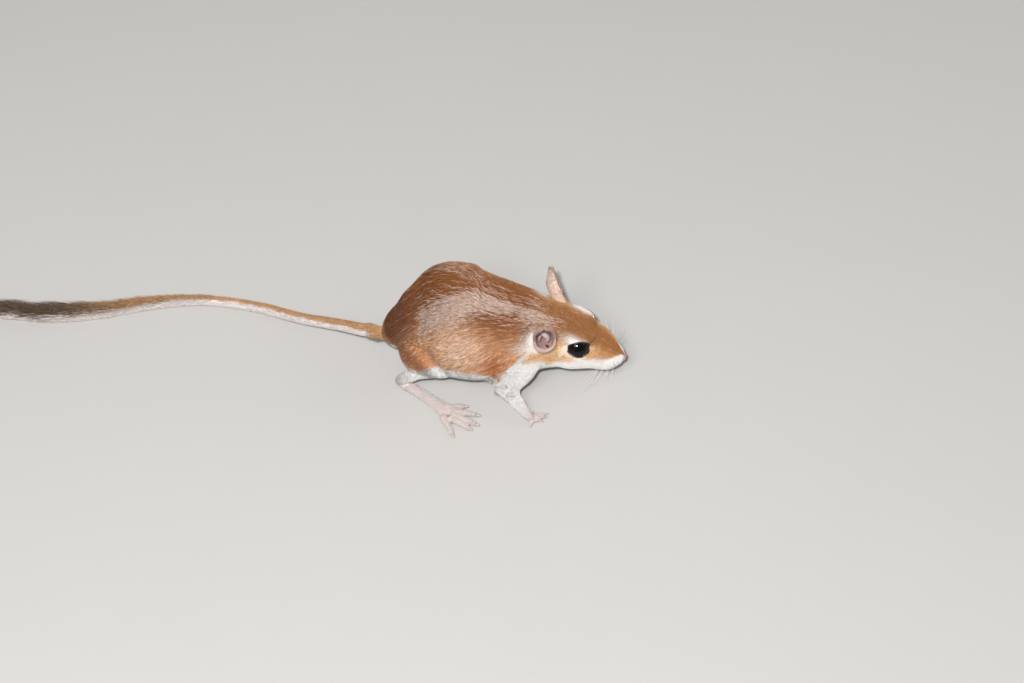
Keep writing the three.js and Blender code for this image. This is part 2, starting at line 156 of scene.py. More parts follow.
# An ellipsoid, its first radius along a direction, its last nearest to upright:
# centre + axes * radii * (sin(polar) cos(turn), sin(polar) sin(turn), -cos(polar))
def ellipsoid(centre, radii, way=(1, 0, 0), upright=up, around=24, rings=16):
    way = unit(np.asarray(way, float))
    left = unit(np.cross(upright, way))
    axes = np.stack([way, left, np.cross(way, left)])
    polar = np.linspace(0, np.pi, rings + 1)[1:-1, None]
    turn = np.linspace(0, 2 * np.pi, around, endpoint=False)
    parts = (np.sin(polar) * np.cos(turn), np.sin(polar) * np.sin(turn), -np.cos(polar))
    ball = np.stack(np.broadcast_arrays(*parts), -1)
    ball = np.vstack([ball.reshape(-1, 3), [[0, 0, -1], [0, 0, 1]]])
    return np.asarray(centre) + (ball * radii) @ axes, tubeFaces(rings - 1, around)


# Several shapes as one, with the faces grouped by their number of corners
def joined(shapes):
    points, faces, base = [], {3: [], 4: []}, 0
    for shapePoints, shapeFaces in shapes:
        points.append(shapePoints)
        for group in shapeFaces:
            faces[group.shape[1]].append(group + base)
        base += len(shapePoints)
    return np.vstack(points), [np.vstack(groups) for groups in faces.values() if groups]


# The head's own frame: origin at the nose tip, x forward, y to the animal's left, z up
headPose = {"noseTip": (34.6, -2.9, 7.2), "yaw": -12, "dip": 18, "roll": -1}


# One turn from degrees to the left, of the nose down, and of roll
def turnMatrix(yaw, dip, roll):
    z, y, x = np.radians([yaw, dip, roll])
    aboutZ = np.array([[math.cos(z), -math.sin(z), 0], [math.sin(z), math.cos(z), 0], [0, 0, 1]])
    aboutY = np.array([[math.cos(y), 0, math.sin(y)], [0, 1, 0], [-math.sin(y), 0, math.cos(y)]])
    aboutX = np.array([[1, 0, 0], [0, math.cos(x), -math.sin(x)], [0, math.sin(x), math.cos(x)]])
    return aboutZ @ aboutY @ aboutX


headTurn = turnMatrix(headPose["yaw"], headPose["dip"], headPose["roll"])


# A place and a direction of the head's frame in the pose frame, and points the other way round
def onHead(x, y, z):
    return np.asarray(headPose["noseTip"]) + headTurn @ np.array([x, y, z], float)


def headWay(x, y, z):
    return unit(headTurn @ np.array([x, y, z], float))


def headPlace(points):
    return (points - np.asarray(headPose["noseTip"])) @ headTurn


eyeShape = {
    "back": -15.9, "apart": 10.1, "height": 4.0, "radius": 3.8,
    "outward": {-1: (0.27, -0.76, 0.59), 1: (0.28, 0.86, 0.42)}, "forward": (1, 0, 0.42),
    "halfLengthTurn": 74, "halfHeightTurn": {-1: 35.5, 1: 31},  # degrees from the eye's middle to the lids
    "cornerPoint": 1.7, "lidThickness": 0.26, "lidWidth": 0.36, "lidDepth": 0.55,
    "fleshRadii": (3.85, 4.7, 4.2), "socketDepth": 0.75, "brim": 0.12,
    "brimReach": 1.12, "pressReach": 1.45,  # in openings of the lids
}


# Middle of the eye, and its directions out, towards the nose and towards the upper lid
def eyeAxes(side):
    centre = onHead(eyeShape["back"], side * eyeShape["apart"] / 2, eyeShape["height"])
    outward, forward = headWay(*eyeShape["outward"][side]), headWay(*eyeShape["forward"])
    forward = unit(forward - outward * (forward @ outward))
    lidUp = unit(np.cross(outward, forward) * side)
    return centre, outward, forward, lidUp


# Ears: a thin cupped sheet, its two faces brought together at the rim
ear = {
    "length": 13.1, "halfWidth": 3.4, "rootWidth": 2.3, "thickness": 0.5, "rim": 0.75,
    "cupCentre": (0.9, 4.2), "cupRadii": (3.6, 3.5, 5.4), "cupDepth": 2.2,
    "right": {
        "root": (-25.1, -9.4, 3.4), "way": (-0.37, -0.08, 0.93), "open": (0.32, -0.92, 0.05),
        "wider": 1.0, "deeper": 1.0, "tipLean": 0.5, "paintedLight": 0.0,
    },
    # the far ear's paleness is painted light of the lamps on and through it
    "left": {
        "root": (-23.8, 8.6, 5.2), "way": (-0.6, 0.47, 0.64), "open": (0.86, 0.3, 0.37),
        "wider": 1.15, "deeper": 1.2, "tipLean": -0.7, "paintedLight": 0.8,
    },
}


# Root of an ear, and its directions up to the tip and out of the opening
def earAxes(name):
    pose = ear[name]
    way, front = headWay(*pose["way"]), headWay(*pose["open"])
    return onHead(*pose["root"]), way, unit(front - way * (front @ way))


# How far each point lies inside the cup of an ear, 1 at its floor
def inEarCup(points, name, reach=1.0):
    root, way, front = earAxes(name)
    away = points - (root + front * ear["cupCentre"][0] + way * ear["cupCentre"][1])
    away = np.stack([away @ front, away @ np.cross(way, front), away @ way], -1) / ear["cupRadii"]
    away[:, 0] = np.where(away[:, 0] < 0, away[:, 0] * 0.8, away[:, 0])  # deeper behind than in front
    return smoothStep(1.15, 0.85, np.linalg.norm(away, axis=1) / reach)


# The pose frame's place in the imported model, from the middle of the right eye
eyeLow, eyeHigh = (np.array(corner) * 1000 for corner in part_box("eye_right"))
offset = (eyeLow + eyeHigh) / 2 - eyeAxes(-1)[0]
offset[2] = 0


# From millimetres in the pose frame to metres in the model's frame
def placed(points):
    return (points + offset) / 1000


# A mesh object from points, groups of faces with as many corners each, and a colour for each point
def meshObject(name, points, faces, colours=None, flat=False):
    mesh = bpy.data.meshes.new(name)
    mesh.vertices.add(len(points))
    mesh.vertices.foreach_set("co", np.asarray(points, np.float32).ravel())
    loops = np.concatenate([group.ravel() for group in faces]).astype(np.int32)
    counts = np.concatenate([np.full(len(group), group.shape[1]) for group in faces])
    mesh.loops.add(len(loops))
    mesh.loops.foreach_set("vertex_index", loops)
    mesh.polygons.add(len(counts))
    mesh.polygons.foreach_set("loop_start", np.concatenate([[0], np.cumsum(counts)[:-1]]).astype(np.int32))
    mesh.update(calc_edges=True)
    if not flat:
        mesh.shade_smooth()
    if colours is not None:
        layer = mesh.attributes.new("tint", "FLOAT_COLOR", "POINT")
        rgba = np.concatenate([colours, np.ones((len(colours), 1))], 1)
        layer.data.foreach_set("color", rgba.astype(np.float32).ravel())
    piece = bpy.data.objects.new(name, mesh)
    bpy.context.scene.collection.objects.link(piece)
    return piece


def meshArrays(mesh):
    points = np.empty(len(mesh.vertices) * 3, np.float32)
    mesh.vertices.foreach_get("co", points)
    loops = np.empty(len(mesh.loops), np.int32)
    mesh.loops.foreach_get("vertex_index", loops)
    return points.reshape(-1, 3).astype(float), loops


# A screen colour, 0 to 255, as linear light
def linear(red, green, blue):
    c = np.array([red, green, blue]) / 255
    return np.where(c <= 0.04045, c / 12.92, ((c + 0.055) / 1.055) ** 2.4)


# Trunk: stations from the tail root to the nose, each a place, half width and heights above and below
trunk = {
    "places": [
        (-39.2, 6.6, 9.6), (-36.4, 6.0, 10.8), (-32.4, 5.3, 13.1), (-27.2, 4.7, 15.7),
        (-21.8, 4.4, 17.2), (-16.4, 4.1, 17.4), (-11.0, 3.6, 16.5), (-2.0, 3.0, 15.4), (7.2, 2.3, 14.7),
        onHead(-21.2, 0, 0.9), onHead(-16.0, 0, 0.9), onHead(-11.4, 0, 0.6), onHead(-7.3, 0, 0.2),
        onHead(-3.9, 0, 0), onHead(-1.3, 0, 0), onHead(0, 0, 0),
    ],
    "sizes": [
        (4.6, 3.6, 4.8), (6.6, 5.8, 7.2), (9.4, 8.8, 10.2), (13.3, 13.6, 12.8),
        (17.2, 19.2, 14.7), (18.7, 19.2, 14.9), (17.7, 16.4, 14.3), (15.9, 13.5, 12.8), (13.4, 11.4, 11.6),
        (11.6, 8.8, 9.8), (10.2, 7.7, 8.6), (8.4, 6.8, 7.2), (6.6, 5.4, 5.9),
        (4.9, 4.1, 4.4), (3.0, 2.7, 2.7), (1.8, 1.6, 1.6),
    ],
    "ends": (0.04, 0.03),
    "coatDepth": [0.9, 1.2, 1.3, 1.3, 1.25, 1.1, 0.85, 0.6, 0.4, 0.25, 0.12],
}
trunk["lumps"] = [
    lump
    for side in sides
    for lump in (
        {"centre": onHead(-15, side * 8.5, -3.5), "radii": (5, 4, 4), "height": 0.8},  # cheek
        {"centre": onHead(-4.4, side * 3.6, -1.2), "radii": (3, 3, 2.4), "height": 0.9},  # whisker pad
        {"centre": onHead(-10.6, side * 5.0, 4.8), "radii": (3.4, 2.4, 2.4), "height": 0.6},  # before the eye
        {"centre": onHead(-14.8, side * 6.8, 5.8), "radii": (5, 3.4, 3.4), "height": 0.8},  # over the eye
        {"centre": onHead(-17.8, side * 6.6, 7.4), "radii": (4.0, 2.8, 2.8), "height": 1.0},  # brow
        {"centre": (-9.5, 3.6 + side * 15, 6.5), "radii": (13, 8, 8), "height": 2.4},  # flank
    )
]


# A near-side point carried across an upright plane through the body's middle
def farSide(point, middle, share, stride):
    at, degrees = np.array([*middle[:2], 0.0]), math.radians(middle[2])
    normal = np.array([math.sin(degrees), math.cos(degrees), 0])
    point = np.asarray(point, float)
    return point - normal * ((point - at) @ normal) * (1 + share) + np.array([stride, 0, 0])


legs = {
    "hips": (-17.8, 4.4, 9), "farShare": 0.86, "farStride": 2.5,
    "shank": [(-17, -7.6, 9.6), (-26, -7.8, 7.4), (-33.2, -8.4, 4.4), (-35.2, -7.8, 1.9)],
    "shankSizes": [(4.4, 5, 4), (3.1, 3.8, 3.1), (1.9, 2.1, 1.9), (1.5, 1.3, 1.4)],
    "shankInset": [0.9, 0.7, 0.3, 0.15],  # the coat's depth, from the top down
    "thigh": (-25, -3.2, 12.3), "thighRadii": (10.5, 8.8, 9.8), "thighInset": 0.9,
    "sole": [(-35.2, -7.8, 1.9), (-28.9, -11.4, 1.4), (-23.4, -15.8, 1.2), (-19.2, -19.4, 1.0)],
    "soleSizes": [(1.6, 1.4, 1.6), (1.8, 1.4, 1.6), (2.2, 1.2, 1.4), (3.0, 0.9, 1.2)], "soleInset": [0.12],
    "toes": [
        ((-20.6, -17.4, 1.1), (-14.2, -16.6, 0.6)), ((-19.6, -18.6, 1.2), (-10.6, -19.9, 0.6)),
        ((-19.2, -19.9, 1.2), (-10.8, -23.4, 0.6)), ((-19.6, -21.0, 1.2), (-13.0, -25.0, 0.6)),
        ((-21.6, -20.2, 1.1), (-18.2, -27.4, 0.6)),
    ],
    "toe": {"radius": 1.06, "rootScale": 1.3, "tipScale": 0.85, "arch": 0.4, "claw": 1.0, "inset": [0.1]},
}
arms = {
    "shoulders": (4, 2.9, 8), "farShare": 0.66, "farStride": -1.5,
    "shoulder": (3.9, -8.6, 10.6), "elbow": (-2.2, -12.6, 8.4), "upperRadii": (9, 5.6, 6),
    "upperPlace": 0.45, "upperInset": 0.9,
    "arm": [(-2.2, -12.6, 8.4), (-0.8, -15.4, 7.1), (1.3, -17.8, 5.4), (4.6, -21.0, 2.7), (6.6, -21, 1.5)],
    "armSizes": [(4.8, 4.6, 4.6), (3.9, 3.7, 3.7), (2.8, 2.6, 2.5), (1.7, 1.6, 1.5), (1.5, 0.9, 1.0)],
    "armInset": [0.9, 0.8, 0.6, 0.25, 0.1],
    "palm": (6.6, -21.0, 0.9), "palmRadii": (2.3, 1.7, 1.15), "palmInset": 0.08,
    "fingers": [
        ((7.3, -20.0, 0.95), (10.6, -19.2, 0.4)), ((7.4, -20.6, 1.0), (10.2, -20.5, 0.4)),
        ((7.1, -21.3, 1.0), (9.0, -21.9, 0.4)), ((6.0, -21.9, 0.95), (5.8, -23.6, 0.4)),
        ((5.6, -20.1, 0.9), (6.4, -18.9, 0.4)),
    ],
    "finger": {"radius": 0.6, "rootScale": 1.25, "tipScale": 0.8, "arch": 0.25, "claw": 0.8, "inset": [0.05]},
}
tail = {
    "line": [
        (-37.5, 5.6, 8.8), (-45.5, 7.4, 8.2), (-54, 11.0, 6.2), (-66, 15.8, 3.2), (-80, 21.4, 1.6),
        (-96, 24.0, 1.45), (-112, 22.5, 1.4), (-128, 18.9, 1.35), (-142, 17.4, 1.3), (-158, 18.6, 1.2),
        (-170, 20.2, 1.0),
    ],
    "radii": [2.3, 2.1, 1.95, 1.85, 1.8, 1.7, 1.65, 1.55, 1.5, 1.3, 0.9],
    "coatDepth": 0.22,
}


# Equal half width and heights at each radius
def roundSizes(radii):
    return np.repeat(np.asarray(radii, float)[:, None], 3, 1)


# The knuckled line of a toe or finger, and its claw's line
def digitLines(ends, arch, clawLength):
    root, tip = (np.asarray(end, float) for end in ends)
    knuckle = root + (tip - root) * 0.55 + up * arch
    way = unit((tip - knuckle) * (1, 1, 0))
    claw = [tip - way * 0.5, tip + way * clawLength * 0.5 + up * 0.25, tip + way * clawLength - up * 0.3]
    return [root, knuckle, tip], claw


def legPoint(point, side):
    if side < 0:
        return np.asarray(point, float)
    return farSide(point, legs["hips"], legs["farShare"], legs["farStride"])


def armPoint(point, side):
    if side < 0:
        return np.asarray(point, float)
    return farSide(point, arms["shoulders"], arms["farShare"], arms["farStride"])


# Every limb as a line with sizes, for the skin, for the lie of the coat and for its unwrap
def limbLines():
    found = []
    for side in sides:
        for part, key, owner, toSide in (("shank", "shank", legs, legPoint), ("foot", "sole", legs, legPoint),
                                         ("arm", "arm", arms, armPoint)):
            found.append({"part": part, "knots": [toSide(point, side) for point in owner[key]],
                          "sizes": owner[key + "Sizes"], "inset": owner[key + "Inset"]})
        for part, owner, toSide in (("toe", legs, legPoint), ("finger", arms, armPoint)):
            shape = owner[part]
            radius = shape["radius"]
            for ends in owner[part + "s"]:
                knots, claw = digitLines([toSide(end, side) for end in ends], shape["arch"], shape["claw"])
                sizes = roundSizes([radius * shape["rootScale"], radius, radius * shape["tipScale"]])
                found.append({"part": part, "knots": knots, "claw": claw, "radius": radius,
                              "sizes": sizes, "inset": shape["inset"]})
    found.append({"part": "tail", "knots": tail["line"], "sizes": roundSizes(tail["radii"]),
                  "inset": [tail["coatDepth"]]})
    return found


limbs = limbLines()
skinShape = {
    "voxel": 0.36, "bodySmoothing": 44, "footSmoothing": 3, "browSmoothing": 36,
    "relax": 0.7, "headSoftness": 0.34, "bodyEnd": 0.55, "limbEnd": 0.5,
}
chin = {"centre": (-6.4, 0, -3.0), "radii": (3.4, 2.3, 1.7), "way": (1, 0, -0.1)}


# The flesh as one closed surface: all the bodies joined by a fine remesh
def fleshMesh():
    shapes = [sweep(trunk["places"], trunk["sizes"], 72, 150, trunk["ends"],
                    inset=trunk["coatDepth"], lumps=trunk["lumps"])]
    for limb in limbs:
        rings, ends = (260, (0.01, 0.03)) if limb["part"] == "tail" else (40, (0.14, 0.14))
        shapes.append(sweep(limb["knots"], limb["sizes"], 24, rings, ends, inset=limb["inset"]))
    for side in sides:
        thigh, palm = legPoint(legs["thigh"], side), armPoint(arms["palm"], side)
        shoulder, elbow = armPoint(arms["shoulder"], side), armPoint(arms["elbow"], side)
        upper = shoulder + (elbow - shoulder) * arms["upperPlace"]
        centre, outward, _, lidUp = eyeAxes(side)
        shapes.append(ellipsoid(thigh, np.array(legs["thighRadii"]) - legs["thighInset"]))
        shapes.append(ellipsoid(upper, np.array(arms["upperRadii"]) - arms["upperInset"], elbow - shoulder))
        shapes.append(ellipsoid(palm, np.array(arms["palmRadii"]) - arms["palmInset"]))
        shapes.append(ellipsoid(centre, eyeShape["fleshRadii"], outward, lidUp))
    shapes.append(ellipsoid(onHead(*chin["centre"]), chin["radii"], headWay(*chin["way"])))
    points, faces = joined(shapes)
    rough = meshObject("roughFlesh", points, faces)
    remesh = rough.modifiers.new("whole", "REMESH")
    remesh.mode = "VOXEL"
    remesh.voxel_size = skinShape["voxel"]
    whole = bpy.data.meshes.new_from_object(rough.evaluated_get(bpy.context.evaluated_depsgraph_get()))
    bpy.data.objects.remove(rough)
    points, loops = meshArrays(whole)
    return points, loops.reshape(-1, 4)


# Mean of the neighbours of every vertex, from the directed edges of the skin's quads
def neighbourMean(values):
    sums = [np.bincount(edges[0], column[edges[1]], len(values)) for column in values.T]
    return np.stack(sums, 1) / degree


def evened(values, steps=12):
    values = values[:, None]
    for _ in range(steps):
        values = neighbourMean(values)
    return values[:, 0]


# Points moved towards the mean of their neighbours, by a weight for each
def relaxed(points, weight):
    return points + (neighbourMean(points) - points) * weight[:, None] * skinShape["relax"]


# Directions laid flat on the surface
def alongSurface(way, normals):
    return unit(way - normals * (way * normals).sum(-1, keepdims=True))


# Place of each point on a limb's or the trunk's line: share along it, turn round it and distance over size
def placeOn(knots, sizes, points, samples=90):
    t = np.linspace(0, 1, samples)
    centres, size = lineAt(knots, t), lineAt(sizes, t)
    blocks = np.array_split(points, len(points) // 4000 + 1)
    nearest = np.concatenate([((block[:, None] - centres) ** 2).sum(-1).argmin(1) for block in blocks])
    along, left, top = frameAt(knots, t)
    away = points - centres[nearest]
    shift = (away * along[nearest]).sum(-1)
    span = np.linalg.norm(centres[1:] - centres[:-1], axis=1).mean()
    share = np.clip(t[nearest] + shift / span / samples, 0, 1)
    wide = (away * left[nearest]).sum(-1) / size[nearest, 0]
    high = (away * top[nearest]).sum(-1)
    high = high / np.where(high > 0, size[nearest, 1], size[nearest, 2])
    return share, np.arctan2(high, wide), np.sqrt(wide**2 + high**2 + (shift / size[nearest, 0]) ** 2)


# What lies where on the surface: the limb nearest in its own sizes, and the place on the trunk
def survey(points):
    found = {"trunk": placeOn(trunk["places"], trunk["sizes"], points, 220)}
    best = found["trunk"][2] * 0.93
    limb = np.full(len(points), -1)
    share, turn = found["trunk"][0].copy(), found["trunk"][1].copy()
    for i, each in enumerate(limbs):
        near = placeOn(each["knots"], each["sizes"], points, 160 if each["part"] == "tail" else 24)
        closer = near[2] < best
        best = np.where(closer, near[2], best)
        limb = np.where(closer, i, limb)
        share = np.where(closer, near[0], share)
        turn = np.where(closer, near[1], turn)
    found.update(limb=limb, share=share, turn=turn)
    kinds = np.array([each["part"] for each in limbs] + ["trunk"])
    found["part"] = kinds[limb]
    return found


def partMask(found, *names):
    return np.isin(found["part"], names)


# Angle from the middle of the back round either side, in degrees: 0 on top, 90 at the side, 180 below
def sideAngle(turn):
    return np.degrees(np.abs((turn - np.pi / 2 + np.pi) % (2 * np.pi) - np.pi))


mouth = {"points": [(-0.5, 0, -1.6), (-3.2, 2.5, -3.3), (-7.6, 4.4, -4.1)], "depth": 0.35, "width": 0.38}


# Points seen from the middle of an eye, their reach being 1 at the lids
def eyePolar(points, side):
    centre, outward, forward, lidUp = eyeAxes(side)
    away = points - centre
    distance = np.linalg.norm(away, axis=1)
    turn = np.arctan2(away @ lidUp, away @ forward)
    tilt = np.degrees(np.arccos(np.clip((away @ outward) / np.maximum(distance, 1e-9), -1, 1)))
    return centre, away, distance, tilt / lidOpening(turn, side)


# Half opening of the lids in degrees at a turn round the eye: a superellipse with pointed corners
def lidOpening(turn, side):
    power = eyeShape["cornerPoint"]
    wide = (np.abs(np.cos(turn)) / eyeShape["halfLengthTurn"]) ** power
    high = (np.abs(np.sin(turn)) / eyeShape["halfHeightTurn"][side]) ** power
    return (wide + high) ** (-1 / power)


def mouthDistance(points):
    near = headPlace(points)
    near[:, 1] = np.abs(near[:, 1])
    line = lineAt(mouth["points"], np.linspace(0, 1, 40))
    return np.sqrt(((near[:, None] - line) ** 2).sum(-1).min(1))


# Presses the skin in: behind the eyes and up to a brim round them, into the ears' cups, and along the
# mouth by depth * bell(distance from its line)
def pressFeatures(points, normals):
    radius, brimReach, pressReach = eyeShape["radius"], eyeShape["brimReach"], eyeShape["pressReach"]
    inside, brim = radius - eyeShape["socketDepth"], radius + eyeShape["brim"]
    for side in sides:
        centre, away, distance, reach = eyePolar(points, side)
        target = np.where(reach < 1.0, inside, inside + (brim - inside) * smoothStep(1.0, brimReach, reach))
        keep = smoothStep(brimReach, pressReach, reach)
        wanted = target * (1 - keep) + distance * keep
        wanted = np.where((distance < 7) & (reach < pressReach), wanted, distance)
        points = centre + away * (wanted / np.maximum(distance, 1e-9))[:, None]
    for name in sideNames.values():
        front = headWay(*ear[name]["open"])
        points = points - front * (ear["cupDepth"] * inEarCup(points, name))[:, None]
    face = headPlace(points)[:, 0] > -9.5
    groove = np.zeros(len(points))
    groove[face] = mouth["depth"] * bell(mouthDistance(points[face]), 0, mouth["width"])
    return points - normals * groove[:, None]


# Normal at each vertex, from the cross product of the diagonals of the quads round it
def vertexNormals(points, quads):
    cross = np.cross(points[quads[:, 2]] - points[quads[:, 0]], points[quads[:, 3]] - points[quads[:, 1]])
    sums = [np.bincount(quads.ravel(), np.repeat(column, 4), len(points)) for column in cross.T]
    return unit(np.stack(sums, 1))


print("stage: flesh")
skinPoints, skinQuads = fleshMesh()
edges = np.hstack([np.stack([skinQuads[:, k], skinQuads[:, (k + 1) % 4]]) for k in range(4)])
degree = np.bincount(edges[0], minlength=len(skinPoints))[:, None]
found = survey(skinPoints)
onTrunk = partMask(found, "trunk")
body = onTrunk & (found["trunk"][0] < skinShape["bodyEnd"])
body = body | partMask(found, "shank", "arm") & (found["share"] < skinShape["limbEnd"])
softness = evened(np.where(body, 1.0, np.where(onTrunk, skinShape["headSoftness"], 0.0)), 4)
for step in range(skinShape["bodySmoothing"]):
    weight = softness if step >= skinShape["footSmoothing"] else np.maximum(softness, 0.5)
    skinPoints = relaxed(skinPoints, weight)
skinPoints = pressFeatures(skinPoints, vertexNormals(skinPoints, skinQuads))
aroundEyes = np.zeros(len(skinPoints))
for side in sides:
    _, _, distance, reach = eyePolar(skinPoints, side)
    ring = smoothStep(1.15, 1.4, reach) * smoothStep(9.5, 7.0, distance)
    aroundEyes = np.maximum(aroundEyes, ring)
for step in range(skinShape["browSmoothing"]):
    skinPoints = relaxed(skinPoints, aroundEyes)
skinNormals = vertexNormals(skinPoints, skinQuads)
found = survey(skinPoints)
print("stage: skin of", len(skinPoints), "points")

# Colours of the coat and skin, mostly as seen in even light: the darkness of the back and rump is partly
# their own colour and partly painted shade, and the sheen tip tone is a painted sheen
coatColours = {
    "back": linear(148, 90, 46), "rumpAndPaintedShade": linear(122, 64, 26), "flank": linear(226, 166, 118),
    "lightFlank": linear(238, 192, 154), "rufous": linear(192, 112, 62), "white": linear(234, 231, 228),
    "head": linear(168, 114, 68), "headSide": linear(230, 178, 122), "muzzle": linear(178, 118, 70),
    "buff": linear(232, 186, 134), "paintedSheenTip": linear(246, 226, 214), "brushLow": linear(206, 194, 188),
    "lip": linear(206, 180, 170), "footHair": linear(214, 205, 202), "footSkin": linear(198, 180, 175),
    "tailTop": linear(206, 158, 114), "tailSide": linear(226, 216, 212), "brush": linear(98, 78, 60),
}
# Side angle of the border between orange and white, by share along the trunk
whiteBorder = {
    "share": [0.0, 0.044, 0.127, 0.2, 0.304, 0.394, 0.431, 0.452, 0.474, 0.491, 0.502, 0.514, 0.525, 0.545,
              0.6, 0.612, 0.625, 0.65, 0.68, 0.7, 0.716, 0.735, 0.77, 0.835, 0.875, 0.92, 1.0],
    "angle": [94, 92, 95, 103, 96, 93, 97, 104, 97, 91, 80, 71, 66, 76,
              92, 66, 44, 31, 29, 33, 56, 66, 60, 54, 42, 18, -4],
}


# Patches of the head, mirrored, in its own frame: tone, strength, centre and radii
headPatches = {
    "underWhite": [("buff", 0.55, (-23, 10.5, 6.5), (4, 3, 3))],
    "white": [
        ("white", 1.2, (-29.4, 10.6, 6.0), (2.7, 3.8, 2.9)),  # behind the ear
        ("white", 1.0, (-27, 12.4, 3.6), (6.2, 2.5, 1.7)),
        ("white", 1.2, (-17.4, 7.4, 8.0), (3.6, 2.4, 2.0)),  # over the eye
    ],
    "overWhite": [
        ("buff", 0.7, (-12.0, 7.0, 4.6), (2.6, 2.2, 2.0)),
        ("lip", 0.5, (-7.6, 5.6, 2.6), (2.2, 1.6, 1.2)),
        ("lip", 0.6, (0.2, 0, 0.4), (1.6, 2.0, 1.6)),
    ],
}


# A patch fading as exp(-distance ** 3), in its own radii
def blob(near, centre, radii):
    away = (near - centre) / np.array(radii)
    return np.exp(-((away**2).sum(-1) ** 1.5))


# The markings as a colour at each point: back and flank by the angle round the trunk, the back and rump
# darker, partly their own colour and partly painted shade, a sharp border to white below, and the patches of
# the head in its own frame
def markings(points, found):
    tones = coatColours
    share, turn = found["trunk"][0], found["trunk"][1]
    angle = sideAngle(turn) + 2.2 * ripple(points, 5, 3) + 1.2 * ripple(points, 1.6, 4)
    near = headPlace(points)
    near[:, 1] = np.abs(near[:, 1])
    dorsal = 1 - smoothStep(26, 74, angle - 16 * smoothStep(0.24, 0.08, share))
    # the rump's darkening: partly its own colour, partly painted shade where it turns from the lamps
    rumpAndPaintedShade = smoothStep(0.25, 0.12, share) * smoothStep(0.06, 0.13, share) * smoothStep(108, 66, angle)
    crown = smoothStep(0.48, 0.6, share) * (0.35 + 0.65 * smoothStep(75, 35, angle))
    layers = (
        ("back", dorsal),
        ("flank", 0.8 * smoothStep(0.12, 0.05, share)),
        ("rumpAndPaintedShade", 0.75 * rumpAndPaintedShade),
        # the tail's top tone on the trunk's end: partly the tail root's own colour, partly painted light
        # where the body turns away from the lamps
        ("tailTop", smoothStep(0.085, 0.03, share)),
        ("lightFlank", 0.85 * bell(share, 0.347, 0.11) * bell(angle, 72, 28)),
        ("rufous", 0.95 * bell(share, 0.459, 0.024) * bell(angle, 84, 21)),
        ("rufous", 0.6 * bell(share, 0.2, 0.06) * bell(angle, 88, 16)),
        ("head", crown),
        ("muzzle", smoothStep(0.7, 0.82, share)),
        ("headSide", 0.9 * smoothStep(0.5, 0.58, share) * smoothStep(14, 54, angle)),
    )
    colour = np.tile(tones["flank"], (len(points), 1))
    for tone, amount in layers:
        colour = blendOf(colour, tones[tone], amount)
    for tone, strength, centre, radii in headPatches["underWhite"]:
        colour = blendOf(colour, tones[tone], strength * blob(near, centre, radii))
    border = np.interp(share, whiteBorder["share"], whiteBorder["angle"])
    width = np.where(share > 0.6, 7, 4)
    white = smoothStep(border - width, border + width, angle)
    for _, strength, centre, radii in headPatches["white"]:
        white = np.maximum(white, strength * blob(near, centre, radii))
    colour = blendOf(colour, tones["white"], np.clip(white, 0, 1))
    # The buff stripe from behind the eye to below the ear
    stripe = bell(near[:, 2], 1.3 + 0.14 * (near[:, 0] + 24), 1.35) * smoothStep(-31, -28, near[:, 0])
    stripe = stripe * smoothStep(-13.5, -17, near[:, 0]) * (near[:, 1] > 3)
    colour = blendOf(colour, tones["buff"], 0.9 * stripe)
    for tone, strength, centre, radii in headPatches["overWhite"]:
        colour = blendOf(colour, tones[tone], strength * blob(near, centre, radii))
    lower = partMask(found, "shank", "arm") * smoothStep(0.45, 0.8, found["share"])
    lower = np.maximum(lower, partMask(found, "foot", "toe", "finger") * 1.0)
    colour = blendOf(colour, tones["footHair"], lower)
    return np.where(partMask(found, "tail")[:, None], tailColour(points, found), colour)


# Share of hairs given pale tips as a painted sheen of the lamps on the coat: a band whose side angle falls
# along the trunk, a broad patch on the flank and one by the shoulder, each with its strength, and fewer of
# them all on the left
paintedSheenHairs = {
    "bandShare": [0.2, 0.235, 0.25, 0.326, 0.4, 0.45, 0.52], "bandAngle": [75, 60, 40, 25, 12, 4, 2],
    "band": 0.95, "broad": 0.55, "front": 0.95, "leftShare": 0.35,
}


def paintedSheenShare(found):
    share, angle = found["trunk"][0], sideAngle(found["trunk"][1])
    line = np.interp(share, paintedSheenHairs["bandShare"], paintedSheenHairs["bandAngle"])
    band = bell(angle, line, 16) * smoothStep(0.215, 0.27, share) * smoothStep(0.53, 0.46, share)
    broad = bell(angle, 66, 26) * bell(share, 0.37, 0.085)
    front = bell(angle, 11, 20) * bell(share, 0.55, 0.046)
    total = paintedSheenHairs["band"] * band + paintedSheenHairs["broad"] * broad + paintedSheenHairs["front"] * front
    near = np.where(np.abs(found["trunk"][1]) > np.pi / 2, 1.0, paintedSheenHairs["leftShare"])
    return np.clip(total, 0, 0.9) * near * partMask(found, "trunk")


# Tan along the upper far side of the tail, white below, darkening towards the brush's upper side
tailMarks = {
    "middle": 108, "share": [0, 0.12, 0.25, 0.4, 0.6, 1], "spread": [72, 64, 50, 34, 40, 50],  # in degrees
    "edge": 12, "darkness": 0.85,
}


def tailColour(points, found):
    share, turn = found["share"], np.degrees(found["turn"])
    fromTop = np.abs((turn - tailMarks["middle"] + 180) % 360 - 180) + 6 * ripple(points, 4, 8)
    spread, edge = np.interp(share, tailMarks["share"], tailMarks["spread"]), tailMarks["edge"]
    below = smoothStep(spread - edge, spread + edge, fromTop)
    colour = blendOf(coatColours["tailTop"], coatColours["tailSide"], below)
    dark = smoothStep(0.6, 0.8, share) * (1 - smoothStep(spread, spread + 45, fromTop))
    return blendOf(colour, coatColours["brush"], tailMarks["darkness"] * dark)


